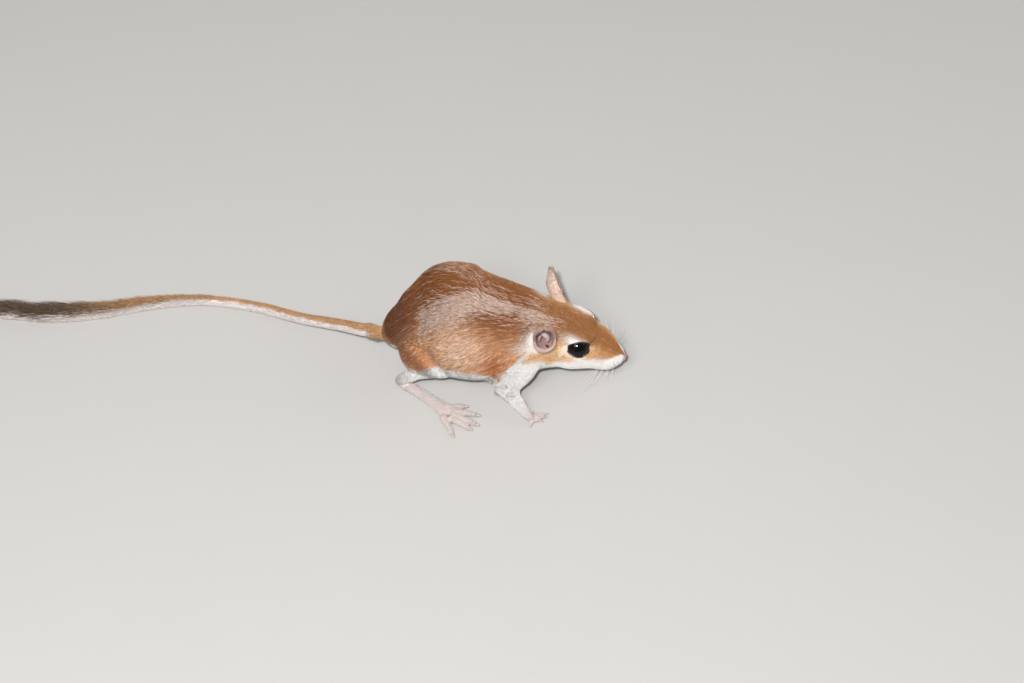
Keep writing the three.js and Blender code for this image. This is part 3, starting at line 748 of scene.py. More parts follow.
# The lie of the coat: back along the trunk and down its sides, down each limb and out along the tail,
# evened out over the surface
def lieOfCoat(normals, found):
    along = frameAt(trunk["places"], found["trunk"][0])[0]
    sag = np.sin(np.radians(np.clip(sideAngle(found["trunk"][1]), 0, 180)))
    sag = sag * np.interp(found["trunk"][0], [0, 0.15, 0.5, 0.62, 1], [0.9, 0.75, 0.65, 0.25, 0.1])
    way = -along - up * sag[:, None]
    for i, limb in enumerate(limbs):
        mine = found["limb"] == i
        if mine.any():
            way[mine] = frameAt(limb["knots"], found["share"][mine])[0]
    way = alongSurface(way, normals)
    for _ in range(40):
        way = alongSurface(way + neighbourMean(way) * 1.5, normals)
    return way


# How fast the surface bends away along the lie: the least squares slope of the change of normal over
# the reach of each edge
def bendAlong(points, normals, way):
    step = points[edges[1]] - points[edges[0]]
    turned = normals[edges[1]] - normals[edges[0]]
    reach = (step * way[edges[0]]).sum(-1)
    turning = np.bincount(edges[0], reach * (turned * way[edges[0]]).sum(-1), len(points))
    squares = np.bincount(edges[0], reach**2, len(points))
    return evened(np.clip(turning / np.maximum(squares, 1e-9), -0.2, 0.6), 6)


print("stage: markings and lie of the coat")
lie = lieOfCoat(skinNormals, found)
bend = bendAlong(skinPoints, skinNormals, lie)
skinColour = markings(skinPoints, found)

# Coat: length, width and stand-off in millimetres, and tufts for each square millimetre, by part of
# the body
coat = {
    "trunkShare": [0.0, 0.1, 0.3, 0.5, 0.58, 0.66, 0.75, 0.85, 0.93, 1.0],
    "trunkLength": [3.2, 3.8, 3.9, 3.4, 2.7, 2.0, 1.7, 1.3, 0.8, 0.5],
    "trunkLift": [0.4, 0.48, 0.48, 0.44, 0.38, 0.3, 0.26, 0.2, 0.15, 0.1],
    "trunkDensity": [14, 15, 16, 16, 17, 19, 22, 26, 34, 40],
    "bellyShare": 0.6,
    "length": {"shank": 1.7, "arm": 1.7, "foot": 1.1, "toe": 0.8, "finger": 0.5, "tail": 1.6},
    "lift": {"shank": 0.22, "arm": 0.18, "foot": 0.12, "toe": 0.09, "finger": 0.06, "tail": 0.18},
    "density": {"shank": 24, "arm": 32, "foot": 22, "toe": 22, "finger": 30, "tail": 12},
    "width": 0.14, "widthAtNose": 0.085, "flatness": 0.22, "sink": 0.12,
    "streakShade": 0.075, "streakLift": 0.16, "strayShade": 0.06, "clumpTurn": 0.07, "strayTurn": 0.06,
    # the root shades darken each tuft towards its root as painted shade among the hairs; the pale tip value
    # is the strength of the painted sheen on chosen tips
    "rootShade": 0.74, "paleRootShade": 0.93, "tipShade": 1.08, "sheenTipStrength": 0.88,
    "calmWhite": 0.85, "shorterWhite": 0.4, "flatterWhite": 0.5,  # less streak, length and lift in white
    "flankFrom": 48, "bellyFrom": 118,  # side angles where the pieces meet
    "neckFrom": 0.5, "headFrom": 0.62,  # and shares along the trunk
    "uvPatch": 0.003, "uvMargin": 0.03,
}


# A row of the coat's values at each point: along the trunk, and on each limb from its top to its foot
def coatValues(found, trunkRow, limbRow):
    value = np.interp(found["trunk"][0], coat["trunkShare"], coat[trunkRow])
    for name, amount in coat[limbRow].items():
        mine = partMask(found, name)
        if name in ("shank", "arm"):
            foot = {"shank": "foot", "arm": "finger"}[name]
            upper = smoothStep(0, 0.35, found["share"][mine])
            lower = smoothStep(0.35, 1.0, found["share"][mine])
            value[mine] = value[mine] * (1 - upper) + amount * upper
            value[mine] = value[mine] * (1 - lower) + coat[limbRow][foot] * lower
        else:
            value[mine] = amount
    return value


coatLength = evened(coatValues(found, "trunkLength", "length"))
for name in sideNames.values():
    coatLength = coatLength * (1 - 0.6 * inEarCup(skinPoints, name, 1.5))
coatLift = evened(coatValues(found, "trunkLift", "lift"))
coatDensity = coatValues(found, "trunkDensity", "density")
under = partMask(found, "trunk") * smoothStep(105, 130, sideAngle(found["trunk"][1]))
coatDensity = coatDensity * (1 - (1 - coat["bellyShare"]) * under * (found["trunk"][0] < 0.62))

earColours = {
    "inner": linear(166, 132, 132), "hollowShade": linear(122, 90, 88), "fold": linear(184, 162, 166),
    "canalShade": linear(60, 36, 38), "rim": linear(156, 128, 116),
    "lobe": linear(178, 152, 144), "outer": linear(186, 162, 148), "pale": linear(236, 208, 188),
}


# No fur on the eyes, in the ears' cups or on the nose pad, and little on the soles
def bareShare(points, found, normals):
    bare = np.zeros(len(points))
    for side in sides:
        _, _, distance, reach = eyePolar(points, side)
        bare = np.maximum(bare, (reach < 1.22) & (distance < 5))
    near = headPlace(points)
    bare = np.maximum(bare, near[:, 0] > -1.0)
    bare = np.maximum(bare, np.maximum(inEarCup(points, "right"), inEarCup(points, "left")))
    feet = partMask(found, "foot", "toe", "finger")
    bare = np.maximum(bare, feet * smoothStep(-0.2, -0.7, normals[:, 2]))
    bare = np.maximum(bare, 1.0 * (points[:, 2] < 0.12))
    return bare


coatDensity = coatDensity * (1 - bareShare(skinPoints, found, skinNormals))


# Seeded roots on the skin, a number on each face by its area and density, at random places in it
def coatRoots(seed):
    random = np.random.default_rng(seed)
    corners = skinPoints[skinQuads]
    area = np.linalg.norm(np.cross(corners[:, 2] - corners[:, 0], corners[:, 3] - corners[:, 1]), axis=1) / 2
    wanted = area * coatDensity[skinQuads].mean(1)
    count = random.poisson(wanted)
    face = np.repeat(np.arange(len(skinQuads)), count)
    a, b = random.uniform(size=(2, len(face)))
    weights = np.stack([(1 - a) * (1 - b), a * (1 - b), a * b, (1 - a) * b], 1)[..., None]

    def carry(values):  # from the skin's points to the roots
        return (values[skinQuads[face]] * (weights if values.ndim > 1 else weights[..., 0])).sum(1)

    return random, carry, skinQuads[face, 0]


# Closed tapered tufts: rings of three points carried from the root along the lie, rising by
# lift * (1 - (1 - s) ** 2) and bending down with the skin, closed at the root and brought to a point
def tuftMesh(root, normal, way, length, width, lift, bending, rings=1):
    count = len(root)
    side = unit(np.cross(normal, way))
    points = np.empty((count, 3 * (rings + 1) + 1, 3))
    for ring in range(rings + 2):
        s = ring / (rings + 1)
        rise = lift * (1 - (1 - s) ** 2) - bending * (length * s) ** 2 / 2
        if ring == 0:
            rise = rise - coat["sink"]
        centre = root + way * (length * s)[:, None] + normal * rise[:, None]
        if ring > rings:
            points[:, -1] = centre
            continue
        half = width[:, None] * (0.38 + 0.12 * math.sin(math.pi * min(s * 1.4, 1)))
        points[:, 3 * ring] = centre - side * half
        points[:, 3 * ring + 1] = centre + side * half
        points[:, 3 * ring + 2] = centre + normal * half * 2 * coat["flatness"]
    local = [(0, 1, 2)]
    for ring in range(rings):
        base = 3 * ring
        for a, b in ((0, 1), (1, 2), (2, 0)):
            local += [(base + b, base + a, base + 3 + a), (base + b, base + 3 + a, base + 3 + b)]
    base = 3 * rings
    local += [(base + b, base + a, 3 * rings + 3) for a, b in ((0, 1), (1, 2), (2, 0))]
    local = np.array(local)
    size = points.shape[1]
    faces = (np.arange(count)[:, None, None] * size + local).reshape(-1, 3)
    share = np.append(np.repeat(np.arange(rings + 1) / (rings + 1), 3), 1.0)
    swing = np.append(np.tile([-1.0, 1.0, 0.0], rings + 1), 0.0)
    return points.reshape(-1, 3), faces, share, swing


# A coat piece: its tufts with colours darkened towards the root as painted shade among the hairs and a little
# lighter at the tip, some tips paled as a painted sheen, and its map, where each tuft is a small patch at its
# root's place on the unwrap of the skin by share along and turn round each part
def coatPiece(name, tufts, colour, unwrap, island, seed, streak=0.0, pale=0.0):
    points, faces, share, swing = tufts
    count = len(colour)
    random = np.random.default_rng(seed)
    stray = coat["strayShade"] * random.normal(size=count)
    glow = np.clip(1 + coat["streakShade"] * streak + stray, 0.55, 1.45)
    paler = smoothStep(0.25, 0.75, colour[:, 2])
    # painted shade at the root of each tuft
    root = coat["rootShade"] + (coat["paleRootShade"] - coat["rootShade"]) * paler
    shade = root[:, None] + (coat["tipShade"] - root[:, None]) * share**0.8
    tint = colour[:, None] * (shade * glow[:, None])[..., None]
    # pale is the share of tufts whose tips take the painted sheen tone
    chosen = random.uniform(size=count) * 0.66 + 0.12 * (1 - streak) < pale
    sheenTipped = coat["sheenTipStrength"] * (chosen[:, None] * smoothStep(0.25, 0.8, share))
    tint = np.clip(blendOf(tint, coatColours["paintedSheenTip"], sheenTipped), 0, 0.95).reshape(-1, 3)
    piece = meshObject(name, placed(points), [faces], tint)
    used, cell = np.unique(island, return_inverse=True)
    columns, margin = math.ceil(math.sqrt(len(used))), coat["uvMargin"]
    low = np.stack([[unwrap[cell == k, c].min() for c in (0, 1)] for k in range(len(used))])
    high = np.stack([[unwrap[cell == k, c].max() for c in (0, 1)] for k in range(len(used))])
    inner = (unwrap - low[cell]) / np.maximum(high - low, 1e-6)[cell]
    centre = (np.stack([cell % columns, cell // columns], 1) + margin + (1 - 2 * margin) * inner) / columns
    patch = np.stack([swing, 2 * share - 1], 1) * coat["uvPatch"] / 2
    uv = (centre[:, None] + patch).reshape(-1, 2)
    layer = piece.data.uv_layers.new(name="OFBake")
    layer.data.foreach_set("uv", uv[faces.ravel()].astype(np.float32).ravel())
    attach(piece, "root")
    return piece


# Clumps turn the lie a little from place to place, and each tuft strays from it by itself
def combed(way, normal, points, random, scale=1.0):
    side = np.cross(normal, way)
    turn = coat["clumpTurn"] * (ripple(points, 14, 11) + 0.3 * ripple(points, 4, 12))
    turn = (turn + coat["strayTurn"] * random.normal(size=len(points))) * scale
    return unit(way * np.cos(turn)[:, None] + side * np.sin(turn)[:, None])


# The coat of the body: tufts at seeded roots, combed, longer or flatter by their place, in ten pieces
def growCoat():
    random, carry, corner = coatRoots(21)
    root, normal, way = carry(skinPoints), unit(carry(skinNormals)), carry(lie)
    here = {key: value[corner] for key, value in found.items() if key != "trunk"}
    here["trunk"] = tuple(values[corner] for values in found["trunk"])
    share, onTrunk = here["trunk"][0], partMask(here, "trunk")
    way = combed(alongSurface(way, normal), normal, root, random)
    length = carry(coatLength) * random.uniform(0.7, 1.2, len(root))
    lift = carry(coatLift) * random.uniform(0.55, 1.25, len(root))
    finer = smoothStep(0.5, 0.7, share) * onTrunk
    streak = streaks(root, way, 0.85, 1.6, 71) * (1 - finer) + streaks(root, way, 0.55, 0.9, 72) * finer
    colour = markings(root, here)
    whiteness = smoothStep(0.3, 0.65, colour[:, 2])
    streak = streak * (1 - coat["calmWhite"] * whiteness)
    shorter = whiteness * smoothStep(0.46, 0.54, share) * partMask(here, "trunk", "arm")
    length = length * (1 - coat["shorterWhite"] * shorter)
    lift = lift * (1 - coat["flatterWhite"] * shorter) * np.clip(1 + coat["streakLift"] * streak, 0.3, 2)
    # share of tufts with painted sheen on their tips
    pale = paintedSheenShare(here)
    finer = smoothStep(0.55, 0.9, share) * onTrunk
    finer = np.maximum(finer, 0.8 * partMask(here, "foot", "toe", "finger"))
    width = coat["width"] + (coat["widthAtNose"] - coat["width"]) * finer
    width = width * random.uniform(0.75, 1.25, len(root))
    unwrap = np.stack([here["share"], here["turn"] / (2 * np.pi) + 0.5], 1)
    angle, left = sideAngle(here["trunk"][1]), np.abs(here["trunk"][1]) < np.pi / 2
    torso, head = onTrunk & (share < coat["neckFrom"]), onTrunk & (share >= coat["headFrom"])
    back, belly = torso & (angle < coat["flankFrom"]), torso & (angle >= coat["bellyFrom"])
    flank = torso & ~back & ~belly
    regions = {
        "coat_back_right": back & ~left,
        "coat_back_left": back & left,
        "coat_flank_right": flank & ~left,
        "coat_flank_left": flank & left,
        "coat_belly": belly,
        "coat_neck": onTrunk & ~torso & ~head,
        "coat_head": head,
        "coat_legs": partMask(here, "shank", "arm"),
        "coat_feet": partMask(here, "foot", "toe", "finger"),
        "coat_tail": partMask(here, "tail"),
    }
    made, bending = [], carry(bend)
    for seed, (name, mine) in enumerate(regions.items()):
        tufts = tuftMesh(*(values[mine] for values in (root, normal, way, length, width, lift, bending)))
        made.append(coatPiece(name, tufts, colour[mine], unwrap[mine],
                              here["limb"][mine], seed, streak[mine], pale[mine]))
        print("stage:", name, int(mine.sum()), "tufts,", len(made[-1].data.polygons), "triangles")
    return made


# The brush: long hairs from the last half of the tail, most of them round its dark side, where they
# stand up and back
brush = {
    "tufts": 5400, "length": 9.0, "shortest": 1.8, "width": 0.2, "lift": 3.4, "start": 0.48, "end": 0.985,
    "darkTurn": 1.95, "darkShare": 0.72, "darkSpread": 0.62,  # radians round the tail
    "lowLength": 0.45, "growOver": 0.28, "floor": 0.06,
}


def growBrush():
    random = np.random.default_rng(31)
    count = brush["tufts"]
    share = brush["start"] + (brush["end"] - brush["start"]) * random.uniform(size=count) ** 0.8
    turn = np.where(random.uniform(size=count) < brush["darkShare"],
                    random.normal(brush["darkTurn"], brush["darkSpread"], count),
                    random.uniform(-np.pi, np.pi, count))
    along, left, top = frameAt(tail["line"], share)
    out = left * np.cos(turn)[:, None] + top * np.sin(turn)[:, None]
    radius = lineAt(roundSizes(tail["radii"]), share)[:, 0] - tail["coatDepth"]
    root = lineAt(tail["line"], share) + out * radius[:, None]
    upper = smoothStep(0.4, 0.97, np.cos(turn - brush["darkTurn"]))
    grown = smoothStep(brush["start"] - 0.02, brush["start"] + brush["growOver"], share)
    longest = brush["length"] * (brush["lowLength"] + (1 - brush["lowLength"]) * upper)
    length = brush["shortest"] + (longest - brush["shortest"]) * grown
    length = length * random.uniform(0.75, 1.15, count)
    lift = (0.25 + brush["lift"] * upper * grown) * random.uniform(0.35, 1.3, count)
    lift = np.where(out[:, 2] < -0.2, 0.05, lift)
    way = combed(along, out, root, random, 1.3)
    sag = np.where(out[:, 2] > 0.3, 0.012, 0.0)
    width = np.full(count, brush["width"]) * random.uniform(0.7, 1.2, count)
    tufts = tuftMesh(root, out, way, length, width, lift, sag, rings=3)
    tufts[0][:, 2] = np.maximum(tufts[0][:, 2], brush["floor"])
    upperTone = blendOf(coatColours["tailTop"] * 0.75, coatColours["brush"], smoothStep(0.6, 0.76, share))
    colour = blendOf(coatColours["brushLow"], upperTone, smoothStep(0.45, 0.85, upper))
    unwrap = np.stack([share, turn / (2 * np.pi) + 0.5], 1)
    return coatPiece("coat_brush", tufts, colour, unwrap, np.zeros(count, int), 40)


# Sheet at height u and turn v:
# centre line + side * w * sin(v A) - front * d * (cos(v A) - cos A) / (1 - cos A),
# where the half angle A shrinks from a tube at the root to an open cup, and w closes at the tip
def earSheet(u, v, name):
    pose, (root, way, front) = ear[name], earAxes(name)
    side = np.cross(way, front)
    wide = ear["rootWidth"] + (ear["halfWidth"] * pose["wider"] - ear["rootWidth"]) * smoothStep(0, 0.5, u)
    wide = wide * np.sqrt(np.clip(1 - (np.clip(u - 0.45, 0, 1) / 0.55) ** 2.2, 0, 1))
    half = np.radians(np.interp(u, [0, 0.15, 0.35, 0.7, 1], [165, 140, 112, 100, 95]))
    depth = np.interp(u, [0, 0.3, 0.65, 1], [2.9, 3.6, 2.9, 1.0])
    depth = depth * (1 + (pose["deeper"] - 1) * smoothStep(0.2, 0.6, u))
    tipLean = pose["tipLean"]
    lean = np.interp(u, [0, 0.3, 0.65, 1], [0.5, 0.1, -0.1 + 0.3 * (tipLean - 0.5), tipLean])
    turn = v * half
    centre = root + way * ((u - 0.12) * ear["length"])[..., None] + front * (lean + 0.6)[..., None]
    back = depth * (np.cos(turn) - np.cos(half)) / (1 - np.cos(half))
    notch = 0.5 * bell(u, 0.2, 0.07) * bell(v, 0.95, 0.2)
    return centre + side * (wide * np.sin(turn))[..., None] - front * (back + notch)[..., None]


# An ear: the sheet given its thickness along its normal, with a curled rim, a fold and fine ridges on the
# inner face, and a wall round the edge
def buildEar(name):
    rows, columns = 72, 56
    u = np.linspace(0, 1, rows) ** 0.9
    v = np.linspace(-1, 1, columns)
    u, v = np.meshgrid(np.minimum(u, 0.9995), v, indexing="ij")
    sheet = earSheet(u, v, name)
    step = 1e-3
    alongU = earSheet(np.minimum(u + step, 0.9999), v, name) - earSheet(u - step, v, name)
    alongV = earSheet(u, v + step, name) - earSheet(u, v - step, name)
    normal = unit(np.cross(alongU, alongV))
    if (normal[rows // 2, columns // 2] @ earAxes(name)[2]) < 0:
        normal = -normal
    edge = np.clip(1 - np.maximum(np.abs(v), u**6) ** 10, 0, 1) ** 0.5
    thick = ear["thickness"] * edge
    curl = ear["rim"] * (bell(np.abs(v), 0.9, 0.1) + bell(u, 0.95, 0.05)) * (u > 0.2) * edge
    wide, high = np.sin(v * np.radians(110)), (u - 0.6) / 0.4
    ring = np.hypot(wide, high)
    fold = 0.5 * bell(ring, 0.6, 0.09) * smoothStep(-0.55, 0.1, high - 0.3 * wide)
    ridges = 0.08 * np.sin(v * 16) * bell(u, 0.62, 0.16)
    inner = sheet + normal * (thick / 2 + (fold + ridges + curl) * edge)[..., None]
    outer = sheet - normal * (thick / 2)[..., None]
    rim = np.clip(1.3 * (bell(np.abs(v), 1.0, 0.16) + bell(u, 1.0, 0.1)), 0, 1) * smoothStep(0.2, 0.4, u)
    tone = blendOf(earColours["lobe"], earColours["inner"], smoothStep(0.1, 0.3, u))
    # a darker ring beside the fold, painted shade in the hollow there
    tone = blendOf(tone, earColours["hollowShade"], 0.8 * bell(ring, 0.76, 0.1))
    tone = blendOf(tone, earColours["fold"], np.clip(fold * 1.4, 0, 1))
    tone = blendOf(tone, earColours["rim"], 0.9 * rim)
    outside = blendOf(earColours["outer"], earColours["rim"], 0.7 * rim)
    # colours blended towards the pale tone as painted light on and through the ear
    paintedLight = np.full(tone.shape[:2], ear[name]["paintedLight"])
    tone, outside = (blendOf(face, earColours["pale"], paintedLight) for face in (tone, outside))
    points = np.concatenate([inner.reshape(-1, 3), outer.reshape(-1, 3)])
    colours = np.concatenate([tone.reshape(-1, 3), outside.reshape(-1, 3)])
    i, j = np.meshgrid(np.arange(rows - 1), np.arange(columns - 1), indexing="ij")

    def at(a, b):
        return (a * columns + b).ravel()

    grid = np.stack([at(i, j), at(i, j + 1), at(i + 1, j + 1), at(i + 1, j)], 1)
    count = rows * columns
    loop = np.concatenate([
        at(np.arange(rows), 0), at(rows - 1, np.arange(1, columns)),
        at(np.arange(rows - 2, -1, -1), columns - 1), at(0, np.arange(columns - 2, 0, -1)),
    ])
    after = np.roll(loop, -1)
    wall = np.stack([loop, loop + count, after + count, after], 1)
    faces = [grid, grid[:, ::-1] + count, wall]
    piece = meshObject("ear_sheet_" + name, placed(points), faces, colours)
    mergeDoubles(piece.data, 2e-6)
    finishPiece(piece, ["ear_" + name])
    return piece, (sheet, normal, u, v)


# Merges points that meet, at seams and tips, and turns the faces outwards
def mergeDoubles(mesh, distance):
    work = bmesh.new()
    work.from_mesh(mesh)
    bmesh.ops.remove_doubles(work, verts=work.verts, dist=distance)
    bmesh.ops.dissolve_degenerate(work, dist=distance / 2, edges=work.edges)
    bmesh.ops.recalc_face_normals(work, faces=work.faces)
    work.to_mesh(mesh)
    work.free()
    mesh.shade_smooth()


def finishPiece(piece, nodes=()):
    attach(piece, "root")
    if nodes:
        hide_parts(*nodes)


# Inside each ear: a pale fold standing in the cup, a dark slit of painted shade where the canal opens below
# it, and in the right ear only a rolled lip that closes the rim in front, placed as across, forward and up in
# the ear's own axes
earInside = {
    "lip": [
        (-3.2, 0.2, 5.2), (-3.1, 0.9, 3.0), (-1.7, 1.5, 1.5),
        (0.4, 1.7, 1.2), (2.4, 1.2, 2.4), (3.2, 0.4, 5.0),
    ],
    "lipRadii": [0.35, 0.62, 0.9, 0.66, 0.6, 0.35],
    "fold": [(-0.9, -1.2, 6.4), (0.2, -0.8, 5.9), (0.9, -0.5, 4.6), (0.5, -0.2, 3.0)],
    "foldRadii": [0.35, 0.8, 0.75, 0.4],
    "ridge": [(-1.9, -0.6, 3.0), (-1.6, -0.9, 4.6), (-0.9, -1.0, 5.6)], "ridgeRadii": [0.35, 0.55, 0.35],
    "slit": (0.4, 0.6, 1.9), "slitRadii": (0.8, 0.35, 0.28),
}


def buildEarInside(name):
    root, way, front = earAxes(name)
    side = np.cross(way, front) * (1 if name == "right" else -1)

    def at(place):
        return root + side * place[0] + front * place[1] + way * place[2]

    shapes, tones = [], []
    parts = [("fold", "fold"), ("ridge", "inner")] + [("lip", "lobe")] * (name == "right")
    for part, tone in parts:
        knots = [at(place) for place in earInside[part]]
        shapes.append(sweep(knots, roundSizes(earInside[part + "Radii"]), 16, 30, (0.1, 0.1), front))
        tones.append(np.tile(earColours[tone], (len(shapes[-1][0]), 1)))
    shapes.append(ellipsoid(at(earInside["slit"]), earInside["slitRadii"], way - side * 0.6, front))
    tones.append(np.tile(earColours["canalShade"], (len(shapes[-1][0]), 1)))
    points, faces = joined(shapes)
    piece = meshObject("ear_folds_" + name, placed(points), faces, np.vstack(tones))
    finishPiece(piece)
    return piece


# Down on the backs and rims of the ears
earDown = {"tufts": 2600, "shortest": 0.7, "longest": 1.5, "width": 0.1, "sag": 0.12, "lift": (0.05, 0.25)}


def growEarDown(sheets):
    random = np.random.default_rng(51)
    count = earDown["tufts"]
    roots, normals, ways, colours, unwraps, islands = [], [], [], [], [], []
    for k, (sheet, normal, u, v) in enumerate(sheets):
        row = (random.uniform(0.1, 0.97, count) * (sheet.shape[0] - 2)).astype(int)
        column = (random.uniform(0, 1, count) * (sheet.shape[1] - 1)).astype(int)
        out = -normal[row, column]
        way = unit(sheet[row + 1, column] - sheet[row, column])
        low = smoothStep(0.45, 0.1, u[row, column])[:, None]
        roots.append(sheet[row, column] + out * 0.15)
        normals.append(out)
        ways.append(alongSurface(way, out))
        colours.append(earColours["outer"] * (1 - low) + coatColours["buff"] * low)
        unwraps.append(np.stack([u[row, column], v[row, column] / 2 + 0.5], 1))
        islands.append(np.full(count, k))
    root, normal, way = (np.vstack(rows) for rows in (roots, normals, ways))
    way = combed(way, normal, root, random)
    total = len(root)
    length = random.uniform(earDown["shortest"], earDown["longest"], total)
    lift = random.uniform(*earDown["lift"], total)
    tufts = tuftMesh(root, normal, way, length, np.full(total, earDown["width"]), lift,
                     np.full(total, earDown["sag"]))
    return coatPiece("coat_ears", tufts, np.vstack(colours), np.vstack(unwraps),
                     np.concatenate(islands), 52)


# Lids: a rolled rim round the eye, from against the ball out over its crest and down under the fur, at
# centre + (outward * cos(tilt) + round * sin(tilt)) * (radius + height)
def buildLids(side):
    centre, outward, forward, lidUp = eyeAxes(side)
    turns, steps = 96, 14
    turn = np.linspace(0, 2 * np.pi, turns, endpoint=False)
    s = np.linspace(0, 1, steps)[:, None]
    radius = eyeShape["radius"]
    tilt = np.radians(lidOpening(turn, side) * (1 + eyeShape["lidWidth"] * (s - 0.05)))
    height = np.interp(s, [0, 0.1, 0.3, 0.6, 1], [-0.2, 0.06, eyeShape["lidThickness"], 0.24, -0.35])
    flat = forward * np.cos(turn)[:, None] + lidUp * np.sin(turn)[:, None]
    way = outward * np.cos(tilt)[..., None] + flat[None] * np.sin(tilt)[..., None]
    outer = centre + way * (radius + height)[..., None]
    inner = centre + way * (radius - eyeShape["lidDepth"])
    points = np.vstack([outer.reshape(-1, 3), inner[::-1].reshape(-1, 3)])
    ring = np.arange(2 * steps)[:, None] * turns
    j, k = np.arange(turns), (np.arange(turns) + 1) % turns
    following = (np.arange(2 * steps) + 1) % (2 * steps) * turns
    quads = np.stack([ring + j, ring + k, following[:, None] + k, following[:, None] + j], -1).reshape(-1, 4)
    dark = np.repeat(smoothStep(0.7, 0.3, s), turns, 1)
    tone = blendOf(linear(176, 140, 120), linear(26, 18, 16), dark).reshape(-1, 3)
    piece = meshObject("lids_" + sideNames[side], placed(points), [quads], np.vstack([tone, tone[::-1]]))
    mergeDoubles(piece.data, 1e-7)
    finishPiece(piece)
    return piece


# The eye: a ball, near black, with a brown ring at 0.8 of its radius outwards
def buildEye(side):
    centre, outward, forward, _ = eyeAxes(side)
    radius = eyeShape["radius"]
    points, faces = ellipsoid(centre, (radius, radius, radius), forward, outward, 72, 48)
    height = (points - centre) / radius @ outward
    tone = blendOf(linear(5, 4, 4), linear(22, 12, 9), bell(height, 0.8, 0.07))
    piece = meshObject("eyeball_" + sideNames[side], placed(points), faces, tone)
    finishPiece(piece, ["eye_" + sideNames[side]])
    return piece


# Nose pad: an ellipsoid scaled on its front half by 1 + wing - nostril - groove, each a bell across it
# times its depth
nose = {
    "centre": (-0.75, 0, 0.55), "radii": (1.15, 1.5, 1.12), "wing": 0.1, "nostril": 0.38, "groove": 0.16,
    "pale": linear(182, 146, 134), "dark": linear(104, 68, 62),
}


def buildNose():
    points, faces = ellipsoid((0, 0, 0), (1, 1, 1), (1, 0, 0), up, 96, 64)
    near = points * nose["radii"]
    forward = near[:, 0] > 0
    y, z = np.abs(near[:, 1]), near[:, 2]
    hole = bell(y, 0.72, 0.2) * bell(z, 0.5 * (y - 0.72), 0.17)
    wing = bell(y, 0.95, 0.28) * bell(z, 0.42, 0.25)
    groove = bell(y, 0, 0.12) * smoothStep(0.3, -0.3, z)
    scale = 1 + forward * (nose["wing"] * wing - nose["nostril"] * hole - nose["groove"] * groove)
    near = near * scale[:, None]
    # the nostrils and the groove darkened as painted shade in them
    dark = np.clip(forward * (hole * 1.3 + groove * 0.5), 0, 1)
    tone = blendOf(nose["pale"], nose["dark"], dark)
    whole = onHead(*nose["centre"]) + near @ headTurn.T
    piece = meshObject("nose_pad", placed(whole), faces, tone)
    finishPiece(piece)
    return piece


# Claws: each digit's end carried on to a point, lifting a little and then down
def buildClaws():
    shapes = [
        sweep(limb["claw"], roundSizes([limb["radius"] * 0.5, limb["radius"] * 0.4, 0.1]), 12, 12,
              (0.1, 0.1))
        for limb in limbs if "claw" in limb
    ]
    points, faces = joined(shapes)
    piece = meshObject("claws", placed(points), faces, np.tile(linear(192, 172, 160), (len(points), 1)))
    finishPiece(piece)
    return piece


# Whiskers: rows of long tapered hairs fanning out and down from the pads beside the nose
whiskers = {
    "rows": 4, "each": 4, "longest": 12.0, "shortest": 3.5, "thickness": 0.04, "floor": 0.4,
    "darkShare": 0.15, "dark": linear(46, 38, 34), "pale": linear(228, 222, 216),
}


def buildWhiskers():
    random = np.random.default_rng(61)
    shapes, tones = [], []
    for side in sides:
        for row in range(whiskers["rows"]):
            for place in range(whiskers["each"]):
                root = onHead(-2.6 - 1.15 * place - 0.2 * row, side * (2.3 + 0.48 * place + 0.2 * row),
                              1.3 - 0.9 * row + 0.12 * place)
                forward = 0.55 - 0.24 * place + random.uniform(-0.12, 0.12)
                drop = 0.1 - 0.22 * row + random.uniform(-0.12, 0.12)
                way = headWay(forward, side * 0.9, drop)
                span = (place + 1) / whiskers["each"]
                length = whiskers["shortest"] + (whiskers["longest"] - whiskers["shortest"]) * span
                length = length * random.uniform(0.7, 1.0)
                curve = headWay(-0.5, 0, 0.15) * length * 0.22
                knots = [root - way * 0.3, root + way * length * 0.5 + curve * 0.2,
                         root + way * length * 0.95 + curve]
                knots = [np.maximum(knot, (-1e3, -1e3, whiskers["floor"])) for knot in knots]
                sizes = roundSizes(whiskers["thickness"] * np.array([1, 0.8, 0.4]))
                shapes.append(sweep(knots, sizes, 5, 10, (0.02, 0.02), headWay(0, 0, 1), least=0.005))
                dark = (row < 2 and place < 2) or random.uniform() < whiskers["darkShare"]
                tone = whiskers["dark" if dark else "pale"]
                tones.append(np.tile(tone, (len(shapes[-1][0]), 1)))
    points, faces = joined(shapes)
    piece = meshObject("whiskers", placed(points), faces, np.vstack(tones))
    finishPiece(piece)
    return piece


# Materials

def newSocket(group, name, way, kind, value=None):
    socket = group.interface.new_socket(name=name, in_out=way, socket_type=kind)
    if value is not None:
        socket.default_value = value


